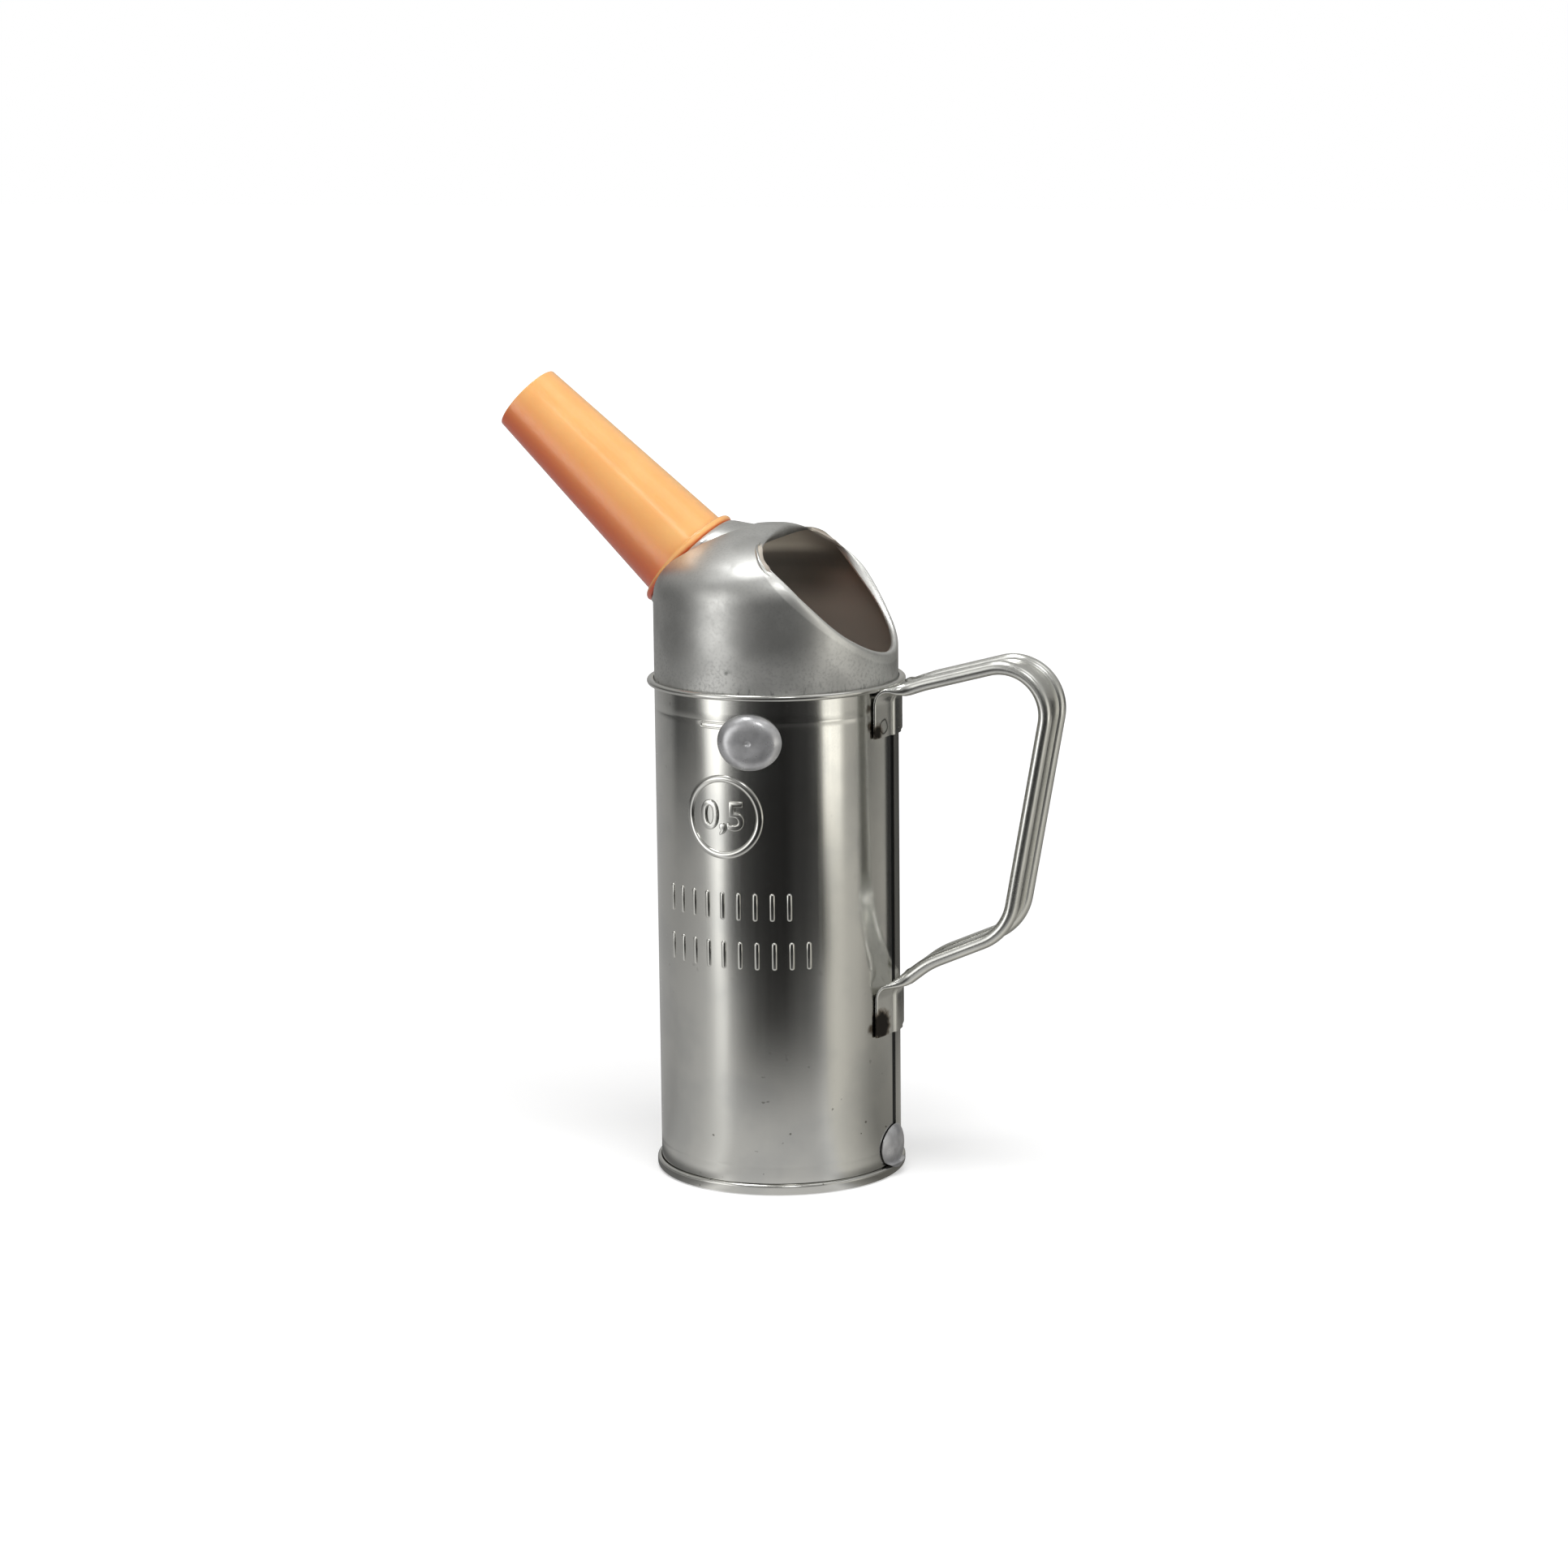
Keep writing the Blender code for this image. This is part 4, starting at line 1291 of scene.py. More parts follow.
    def neck_width(self, direction: Vector) -> float:
        """Radius where the flare begins, a little more on the neck's upper side."""
        swelling = smooth_step(self.neck_side(direction) - self.swell_start)
        return self.neck_radius + self.swell * swelling

    def neck_foot(self, direction: Vector) -> Vector:
        """Where the neck's flare runs into the dome.

        Args:
            direction: Unit vector across the spout's axis.

        Returns:
            The point just under the dome where the crease lies.
        """
        seat, axis, _ = self.neck_frame()
        wide = self.neck_width(direction)
        low, high = 0.0, 2.0 * self.neck_radius
        point = seat
        for _ in range(self.halvings):
            middle = (low + high) / 2.0
            radius = wide + middle * math.sin(self.flare)
            depth = self.collar + middle * math.cos(self.flare)
            point = seat + direction * radius - axis * depth
            nearest, normal = self.contact(point)
            if (point - nearest).dot(normal) < 0.0:
                high = middle
            else:
                low = middle
        sunk = smooth_step(self.neck_side(direction) - self.crease_start)
        return point - self.contact(point)[1] * (self.crease * sunk)

    def mouth_column(self, share: float) -> list[Vector]:
        """One column of the half that holds the mouth, from skirt or ridge to the edge.

        Args:
            share: 0 to 1 round the mouth; the first half starts on the skirt.

        Returns:
            The column's points.
        """
        if share < 0.5:
            angle = (4.0 * share - 1.0) * self.half
            start, turn = self.skirt_point(angle), self.skirt_turn(angle)
        else:
            over = 2.0 * share - 1.0
            split = self.skirt_turn(self.half)
            start = self.ridge(over * math.pi)
            turn = split + 2.0 * (math.pi - split) * over
        brim = self.brim(turn)
        return self.over_dome(start, brim[0]) + brim

    def neck_column(self, share: float) -> list[Vector]:
        """One column of the half that holds the neck, from skirt or ridge to the collar.

        Args:
            share: 0 to 1 round the neck; the first half starts on the skirt.

        Returns:
            The column's points.
        """
        if share < 0.5:
            side = 4.0 * share - 1.0
            start = self.skirt_point(math.pi - side * (math.pi - self.half))
            turn = side * QUARTER
        else:
            over = 2.0 * share - 1.0
            start = self.ridge(over * math.pi)
            turn = QUARTER + over * math.pi
        seat, axis, above = self.neck_frame()
        direction = Vector((0.0, math.sin(turn), 0.0)) - above * math.cos(turn)
        end = seat + direction * self.neck_radius
        foot = self.neck_foot(direction)
        bend = seat + direction * self.neck_width(direction) - axis * self.collar
        slope = [foot.lerp(bend, i / self.flare_rows) for i in range(self.flare_rows)]
        return self.over_dome(start, foot) + slope + [bend, end]

    def loft(self, name: str, column: Callable[[float], list[Vector]]) -> bpy.types.Object:
        """A closed run of columns as a shaped grid."""
        points = [column(i % self.columns / self.columns) for i in range(self.columns + 1)]
        return shaped_grid(name, self.columns, len(points[0]) - 1, lambda i, j: points[i][j])

    def skirt_sheet(self) -> bpy.types.Object:
        """The straight skirt with the flange that the tube's rim holds.

        Returns:
            The open sheet.
        """
        tube = self.tube
        steps = self.columns // 2
        angles = [-self.half + 2.0 * self.half * i / steps for i in range(steps)]
        angles += [self.half + 2.0 * (math.pi - self.half) * i / steps for i in range(steps + 1)]
        top = tube.rim_height + tube.sheet / 2.0
        bend = (tube.radius + tube.sheet, top + tube.sheet)
        profile = [(tube.radius + tube.rim_reach - tube.sheet - 2.0 * tube.gap, top)]
        profile += arc(bend, tube.sheet, -QUARTER, -math.pi, self.flange_steps)
        profile += [(tube.radius, (profile[-1][1] + self.skirt) / 2.0), (tube.radius, self.skirt)]

        def place(column: int, row: int) -> Vector:
            """Where a point of the skirt goes."""
            radius, height = profile[row]
            angle = angles[column % (2 * steps)]
            return Vector((radius * math.cos(angle), radius * math.sin(angle), height))

        return shaped_grid("skirt", 2 * steps, len(profile) - 1, place)

    def build(self) -> bpy.types.Object:
        """Model the hood.

        Returns:
            The finished mesh, whose inside attribute is 1 on its inner wall.
        """
        parts = [
            self.skirt_sheet(),
            self.loft("mouth_half", self.mouth_column),
            self.loft("neck_half", self.neck_column),
        ]
        hood = joined("hood_shell", parts)
        clean(hood)
        outside = max(hood.data.polygons, key=lambda face: face.center.z)
        if outside.normal.z < 0.0:
            hood.data.flip_normals()
        shell = hood.modifiers.new("sheet", "SOLIDIFY")
        shell.thickness = self.tube.sheet
        shell.offset = -1.0
        shell.use_quality_normals = True
        outer = len(hood.data.vertices)
        apply_modifiers(hood)
        marks = hood.data.attributes.new("inside", "FLOAT", "POINT")
        for i in range(outer, len(hood.data.vertices)):
            marks.data[i].value = 1.0
        smooth(hood, self.sharp)
        return hood


@dataclass
class Spout:
    """The turned plastic spout with its flange and the spigot in the neck."""

    hood: Hood
    flange_radius: float = 16.5 * MM
    flange_thickness: float = 2.1 * MM
    base_radius: float = 14.3 * MM
    tip_radius: float = 10.55 * MM
    fillet: float = 0.6 * MM
    length: float = 65.8 * MM
    wall: float = 1.5 * MM
    spigot_length: float = 9.0 * MM
    spigot_taper: float = 0.4 * MM
    tip_round: float = 0.3 * MM
    columns: int = 160
    rings: int = 12
    arc_steps: int = 10
    tip_steps: int = 5
    sharp: float = math.radians(50.0)

    def profile(self) -> Profile:
        """The spout's outline, up the outside and down the bore.

        Returns:
            Radius and height of each ring, from the spout's seat.
        """
        gap = self.hood.tube.gap
        spigot = self.hood.neck_radius - self.hood.tube.sheet - gap
        rounding = self.flange_thickness / 2.0
        start = gap + self.flange_thickness + self.fillet
        end = gap + self.flange_thickness + self.length - self.tip_round
        flange = (self.flange_radius - rounding, gap + rounding)
        root = (self.base_radius + self.fillet, start)
        bore = self.tip_radius - self.wall
        outline = [(spigot - self.spigot_taper, -self.spigot_length), (spigot, gap)]
        outline += arc(flange, rounding, -QUARTER, QUARTER, self.arc_steps)
        outline += arc(root, self.fillet, -QUARTER, -math.pi, self.arc_steps)[1:]
        for i in range(1, self.rings):
            share = i / self.rings
            radius = self.base_radius + (self.tip_radius - self.base_radius) * share
            outline.append((radius, start + (end - start) * share))
        for middle, turn in ((self.tip_radius - self.tip_round, 0.0), (bore + self.tip_round, QUARTER)):
            outline += arc((middle, end), self.tip_round, turn, turn + QUARTER, self.tip_steps)
        outline.append((spigot - self.spigot_taper - self.wall / 2.0, -self.spigot_length))
        return outline

    def build(self) -> bpy.types.Object:
        """Model the spout and set it on the neck.

        Returns:
            The finished mesh.
        """
        spout = turned("pouring_spout", self.profile(), self.columns)
        seat, axis, above = self.hood.neck_frame()
        across = axis.cross(above)
        turn = Matrix((above, across, axis)).transposed().to_4x4()
        spout.matrix_world = Matrix.Translation(seat) @ turn
        settle(spout)
        clean(spout)
        smooth(spout, self.sharp)
        return spout


@dataclass
class Handle:
    """The strap handle: flat lugs on the tube, edges rolled into beads between them.

    A bend is its distance from the tube's wall, its height and its rounding. The height of
    the upper two is taken from the rim. Each dark spot on a lug is scorch with painted shadow;
    its place is its distance across, its height and its radius.
    """

    tube: Tube
    sheet: float = 0.8 * MM
    lug_end_drop: float = 14.2 * MM
    lug_bend_drop: float = 2.4 * MM
    lug_bend_height: float = 55.0 * MM
    lug_end_height: float = 42.6 * MM
    lug_bend_radius: float = 3.4 * MM
    shoulder: Triple = (11.5 * MM, 1.4 * MM, 30.0 * MM)
    bow: Triple = (50.58 * MM, 11.9 * MM, 13.0 * MM)
    heel: Triple = (36.1 * MM, 74.9 * MM, 15.0 * MM)
    ankle: Triple = (12.8 * MM, 64.6 * MM, 25.0 * MM)
    bead_radius: float = 2.0 * MM
    grip_half_width: float = 9.0 * MM
    lug_half_width: float = 12.2 * MM
    rib_height: float = 0.65 * MM
    rib_half_width: float = 3.7 * MM
    rib_flank: float = 0.8 * MM
    rib_soft: float = 0.08 * MM
    fillet: float = 0.3 * MM
    fillet_spans: int = 4
    crown: float = 0.08 * MM
    bead_growth: float = 6.0 * MM
    web_spans: int = 24
    bead_spans: int = 24
    turn_step: float = math.radians(4.0)
    least_turn_spans: int = 3
    run: float = 1.6 * MM
    burn_and_shadow_places: tuple[Triple, ...] = (
        (-11.2 * MM, 131.0 * MM, 1.9 * MM),
        (-10.3 * MM, 46.0 * MM, 4.0 * MM),
        (10.6 * MM, 50.0 * MM, 3.2 * MM),
    )
    weld_places: tuple[Span, ...] = ((-8.2 * MM, 132.4 * MM), (9.3 * MM, 134.5 * MM))
    sharp: float = math.radians(45.0)

    def lug_radius(self) -> float:
        """Radius of the lugs' middle layer round the tube's axis."""
        return self.tube.radius + self.tube.gap + self.sheet / 2.0

    def burns_and_shadows(self) -> Spots:
        """Dark spots on the lugs' outer face: scorch with painted shadow."""
        return spots_on(self.lug_radius() + self.sheet / 2.0, self.burn_and_shadow_places)

    def welds(self) -> tuple[Vector, ...]:
        """Centres of the round weld marks on the upper lug."""
        face = self.lug_radius() + self.sheet / 2.0
        return tuple(on_wall(face, across, height) for across, height in self.weld_places)

    def corners(self) -> list[tuple[Vector, float]]:
        """Corners of the centre line with their rounding.

        Returns:
            Each corner's place and radius.
        """
        lug, rim, wall = self.lug_radius(), self.tube.rim_height, self.tube.radius
        table = [
            (lug, rim - self.lug_end_drop, 0.0),
            (lug, rim - self.lug_bend_drop, self.lug_bend_radius),
            (wall + self.shoulder[0], rim + self.shoulder[1], self.shoulder[2]),
            (wall + self.bow[0], rim + self.bow[1], self.bow[2]),
            (wall + self.heel[0], self.heel[1], self.heel[2]),
            (wall + self.ankle[0], self.ankle[1], self.ankle[2]),
            (lug, self.lug_bend_height, self.lug_bend_radius),
            (lug, self.lug_end_height, 0.0),
        ]
        return [(Vector((x, 0.0, z)), radius) for x, z, radius in table]

    def path(self) -> list[tuple[Vector, Vector]]:
        """Points of the centre line with their directions.

        Returns:
            Each point and its direction, from the upper lug to the lower one.
        """
        corners = self.corners()
        first, last = corners[0][0], corners[-1][0]
        line = [(first, (corners[1][0] - first).normalized())]
        for (before, _), (corner, radius), (after, _) in zip(corners, corners[1:], corners[2:]):
            come = (corner - before).normalized()
            go = (after - corner).normalized()
            turn = come.angle(go)
            side = (go - come * come.dot(go)).normalized()
            centre = corner - come * (radius * math.tan(turn / 2.0)) + side * radius
            count = max(self.least_turn_spans, round(turn / self.turn_step))
            for i in range(count + 1):
                a = turn * i / count
                point = centre - side * (radius * math.cos(a)) + come * (radius * math.sin(a))
                line.append((point, come * math.cos(a) + side * math.sin(a)))
        line.append((last, (last - corners[-2][0]).normalized()))
        fine = [line[0]]
        for (start, _), (end, direction) in zip(line, line[1:]):
            count = max(1, math.ceil((end - start).length / self.run))
            for i in range(1, count):
                fine.append((start.lerp(end, i / count), (end - start).normalized()))
            fine.append((end, direction))
        return fine

    def section(self, grip: float, away: float) -> list[tuple[float, float]]:
        """Outline of the strap across and outward.

        Args:
            grip: 0 at a lug, 1 where the beads are full.
            away: 1 or -1, the tube's far side along the outward direction.

        Returns:
            The closed outline.
        """
        half = self.lug_half_width + (self.grip_half_width - self.lug_half_width) * grip
        bead = self.sheet / 2.0 + (self.bead_radius - self.sheet / 2.0) * grip
        centre = half - bead
        fillet = self.fillet * grip
        lift = self.sheet / 2.0 + fillet
        web = centre - math.sqrt((bead + fillet) ** 2 - lift**2)
        opening = math.atan2(lift, centre - web)
        sweep = 2.0 * (math.pi - opening)
        shares = [i / self.fillet_spans for i in range(1, self.fillet_spans)]
        bends = [opening + (QUARTER - opening) * share for share in shares]
        rounds = [(-web - fillet * math.cos(t), fillet * math.sin(t) - lift) for t in bends]
        turns = [opening + sweep * i / self.bead_spans for i in range(self.bead_spans + 1)]
        outline = [(-centre + bead * math.cos(t), bead * math.sin(t)) for t in turns]
        across = [-web + 2.0 * web * i / self.web_spans for i in range(1, self.web_spans)]
        nudges = (-self.rib_soft, self.rib_soft)
        for bend in (self.rib_half_width, self.rib_half_width - self.rib_flank):
            across += [side * (bend + nudge) for side in (-1.0, 1.0) for nudge in nudges]
        across.sort()
        outline += rounds
        outline += [(y, -self.sheet / 2.0) for y in across]
        outline += [(-y, n) for y, n in reversed(rounds)]
        outline += [(centre - bead * math.cos(t), -bead * math.sin(t)) for t in turns]
        outline += [(-y, -n) for y, n in rounds]
        outline += [(y, self.sheet / 2.0) for y in reversed(across)]
        outline += [(y, -n) for y, n in reversed(rounds)]
        hug = self.lug_radius()
        bent = []
        for y, n in outline:
            curve = hug - math.sqrt(hug * hug - y * y)
            flank = (self.rib_half_width - abs(y)) / self.rib_flank
            rib = self.rib_height * min(1.0, max(0.0, flank))
            crown = self.crown * grip * max(0.0, 1.0 - (y / web) ** 2)
            bent.append((y, n + crown + away * (rib - curve) * (1.0 - grip)))
        return bent

    def build(self) -> bpy.types.Object:
        """Model the handle.

        Returns:
            The finished mesh.
        """
        rings = []
        for point, direction in self.path():
            outward = Vector((-direction.z, 0.0, direction.x))
            out_of_lug = point.x - (self.tube.radius + self.tube.gap + self.sheet)
            grip = smooth_step(out_of_lug / self.bead_growth)
            section = self.section(grip, -1.0 if point.z > self.heel[1] else 1.0)
            rings.append([point + Vector((0.0, y, 0.0)) + outward * n for y, n in section])
        count = len(rings[0])
        handle = shaped_grid(
            "strap_handle", count, len(rings) - 1, lambda i, j: rings[j][i % count]
        )
        clean(handle)
        pick(handle)
        bpy.ops.object.mode_set(mode="EDIT")
        bpy.ops.mesh.select_all(action="DESELECT")
        bpy.ops.mesh.select_mode(type="EDGE")
        bpy.ops.mesh.select_non_manifold()
        bpy.ops.mesh.edge_face_add()
        bpy.ops.object.mode_set(mode="OBJECT")
        clean(handle)
        smooth(handle, self.sharp)
        return handle


@dataclass
class Seal:
    """A drop of solder, domed outside and lying on the tube inside."""

    name: str
    tube: Tube
    base: Base
    angle: float
    height: float
    width: float
    tall: float
    bulge: float
    hollow: float = 0.0
    dimple: float = 0.0
    flatness: float = 2.6
    edge: float = 0.35 * MM
    hollow_share: float = 0.86
    dimple_share: float = 0.11
    segments: int = 96
    rings: int = 96
    sharp: float = math.radians(60.0)

    def backing(self, height: float) -> float:
        """Radius that the drop lies on: the tube, or the base's ring below it.

        Args:
            height: Height of the point.

        Returns:
            The radius there.
        """
        gap = self.tube.gap
        step = smooth_step((self.base.height + 2.0 * gap + self.edge - height) / self.edge)
        return self.tube.radius + gap + self.base.reach * step

    def build(self) -> bpy.types.Object:
        """Model the drop from a ball that is pressed on the tube.

        Returns:
            The finished mesh.
        """
        deselect()
        bpy.ops.mesh.primitive_uv_sphere_add(
            segments=self.segments, ring_count=self.rings, radius=1.0
        )
        drop = bpy.context.object
        drop.name = self.name
        for vertex in drop.data.vertices:
            across, up, proud = vertex.co
            share = min(math.hypot(across, up), 1.0)
            z = self.height + self.tall / 2.0 * up
            turn = self.angle + self.width / 2.0 * across / self.tube.radius
            reach = self.backing(z)
            if proud > -MERGE:
                reach += self.edge + self.bulge * (1.0 - share**self.flatness)
                reach -= self.hollow * smooth_step(1.0 - share / self.hollow_share)
                reach -= self.dimple * smooth_step(1.0 - share / self.dimple_share)
            vertex.co = (reach * math.cos(turn), reach * math.sin(turn), z)
        clean(drop)
        smooth(drop, self.sharp)
        return drop


def upper_seal(tube: Tube, base: Base) -> Seal:
    """The drop beside the fill mark, with a hollow middle."""
    return Seal(
        "upper_drop",
        tube,
        base,
        angle=math.radians(-82.9),
        height=tube.rim_height - 12.7 * MM,
        width=18.4 * MM,
        tall=15.9 * MM,
        bulge=2.4 * MM,
        hollow=0.45 * MM,
        dimple=0.5 * MM,
        flatness=5.0,
    )


def lower_seal(tube: Tube, base: Base) -> Seal:
    """The drop at the foot of the lock seam, over the base's ring."""
    return Seal(
        "lower_drop",
        tube,
        base,
        angle=math.radians(-2.5),
        height=8.4 * MM,
        width=15.6 * MM,
        tall=12.4 * MM,
        bulge=1.7 * MM,
    )


@dataclass(frozen=True)
class BarRow:
    """A row of upright bars round the tube, from one angle in degrees to another."""

    height: float
    tall: float
    start: float
    end: float
    count: int


@dataclass
class Markings:
    """Raised marks on the tube: a ring with the capacity, the fill mark and plain bars."""

    tube: Tube
    ring_angle: float = math.radians(-96.2)
    ring_height: float = 109.2 * MM
    ring_radius: float = 10.95 * MM
    ring_bead: float = 1.05 * MM
    ring_proud_share: float = 0.6
    ring_segments: int = 128
    ring_bead_segments: int = 20
    number: str = "0,5"
    number_height: float = 11.4 * MM
    number_proud: float = 0.32 * MM
    number_bevel: float = 0.3 * MM
    number_bevel_steps: int = 3
    number_curve_steps: int = 6
    fill_angle: float = math.radians(-100.0)
    fill_height: float = 135.1 * MM
    fill_length: float = 9.0 * MM
    fill_tall: float = 1.4 * MM
    fill_bead: float = 0.32 * MM
    fill_end_share: float = 0.25
    fill_segments: int = 48
    fill_bead_segments: int = 14
    bar_rows: tuple[BarRow, ...] = (
        BarRow(83.7 * MM, 8.0 * MM, -129.0, -65.0, 9),
        BarRow(69.6 * MM, 8.0 * MM, -129.0, -56.0, 10),
    )
    bar_half_width: float = 0.75 * MM
    bar_proud: float = 0.45 * MM
    bar_segments: int = 24
    bar_rings: int = 16
    sharp: float = math.radians(60.0)

    def ring(self) -> bpy.types.Object:
        """The ring round the number.

        Returns:
            The finished mesh.
        """
        deselect()
        bpy.ops.mesh.primitive_torus_add(
            major_segments=self.ring_segments,
            minor_segments=self.ring_bead_segments,
            major_radius=self.ring_radius,
            minor_radius=self.ring_bead,
        )
        ring = bpy.context.object
        ring.name = "capacity_ring"
        for vertex in ring.data.vertices:
            vertex.co.z *= self.ring_proud_share
        wrap(ring, self.tube.radius, self.ring_angle, self.ring_height)
        smooth(ring, self.sharp)
        return ring

    def digits(self) -> bpy.types.Object:
        """The capacity as a plain number.

        Returns:
            The finished mesh.
        """
        deselect()
        bpy.ops.object.text_add()
        text = bpy.context.object
        text.data.body = self.number
        text.data.size = self.number_height
        text.data.align_x = "CENTER"
        text.data.align_y = "CENTER"
        text.data.extrude = self.number_proud
        text.data.bevel_depth = self.number_bevel
        text.data.bevel_resolution = self.number_bevel_steps
        text.data.resolution_u = self.number_curve_steps
        bpy.ops.object.convert(target="MESH")
        digits = bpy.context.object
        digits.name = "capacity_number"
        settle(digits)
        clean(digits)
        wrap(digits, self.tube.radius, self.ring_angle, self.ring_height)
        smooth(digits, self.sharp)
        return digits

    def fill_mark(self) -> bpy.types.Object:
        """The slim loop whose upper line is the fill mark.

        Returns:
            The finished mesh.
        """
        deselect()
        radius = self.fill_tall / 2.0
        bpy.ops.mesh.primitive_torus_add(
            major_segments=self.fill_segments,
            minor_segments=self.fill_bead_segments,
            major_radius=radius,
            minor_radius=self.fill_bead,
        )
        mark = bpy.context.object
        mark.name = "fill_mark"
        half = self.fill_length / 2.0 - radius
        for vertex in mark.data.vertices:
            side = vertex.co.x / radius
            vertex.co.x += half * max(-1.0, min(1.0, side / self.fill_end_share))
        wrap(mark, self.tube.radius, self.fill_angle, self.fill_height)
        smooth(mark, self.sharp)
        return mark

    def bar(self, tall: float, angle: float, height: float) -> bpy.types.Object:
        """One upright bar with round ends.

        Args:
            tall: How tall it is.
            angle: Where its middle goes round the tube.
            height: Where its middle goes up the tube.

        Returns:
            The bar, laid on the tube.
        """
        deselect()
        bpy.ops.mesh.primitive_uv_sphere_add(
            segments=self.bar_segments, ring_count=self.bar_rings, radius=1.0
        )
        bar = bpy.context.object
        half = tall / 2.0 - self.bar_half_width
        for vertex in bar.data.vertices:
            across, up, proud = vertex.co
            lift = 0.0 if abs(up) <= MERGE else math.copysign(half, up)
            vertex.co = (
                across * self.bar_half_width,
                up * self.bar_half_width + lift,
                proud * self.bar_proud,
            )
        wrap(bar, self.tube.radius, angle, height)
        return bar

    def bars(self) -> bpy.types.Object:
        """Two rows of plain upright bars.

        Returns:
            The finished mesh of all bars.
        """
        made = []
        for row in self.bar_rows:
            for i in range(row.count):
                angle = math.radians(row.start + (row.end - row.start) * i / (row.count - 1))
                made.append(self.bar(row.tall, angle, row.height))
        bars = joined("plain_bars", made)
        smooth(bars, self.sharp)
        return bars

    def build(self) -> list[bpy.types.Object]:
        """Model every mark."""
        return [self.ring(), self.digits(), self.fill_mark(), self.bars()]


@dataclass(frozen=True)
class Patch:
    """A bright round patch of the painted sky: its angles in degrees and its level."""

    side: float
    height: float
    radius: float
    level: float


@dataclass(frozen=True)
class Lamp:
    """A large soft lamp that shiny metal doesn't see: its angles, its edge and its watts."""

    name: str
    side: float
    height: float
    size: float
    power: float


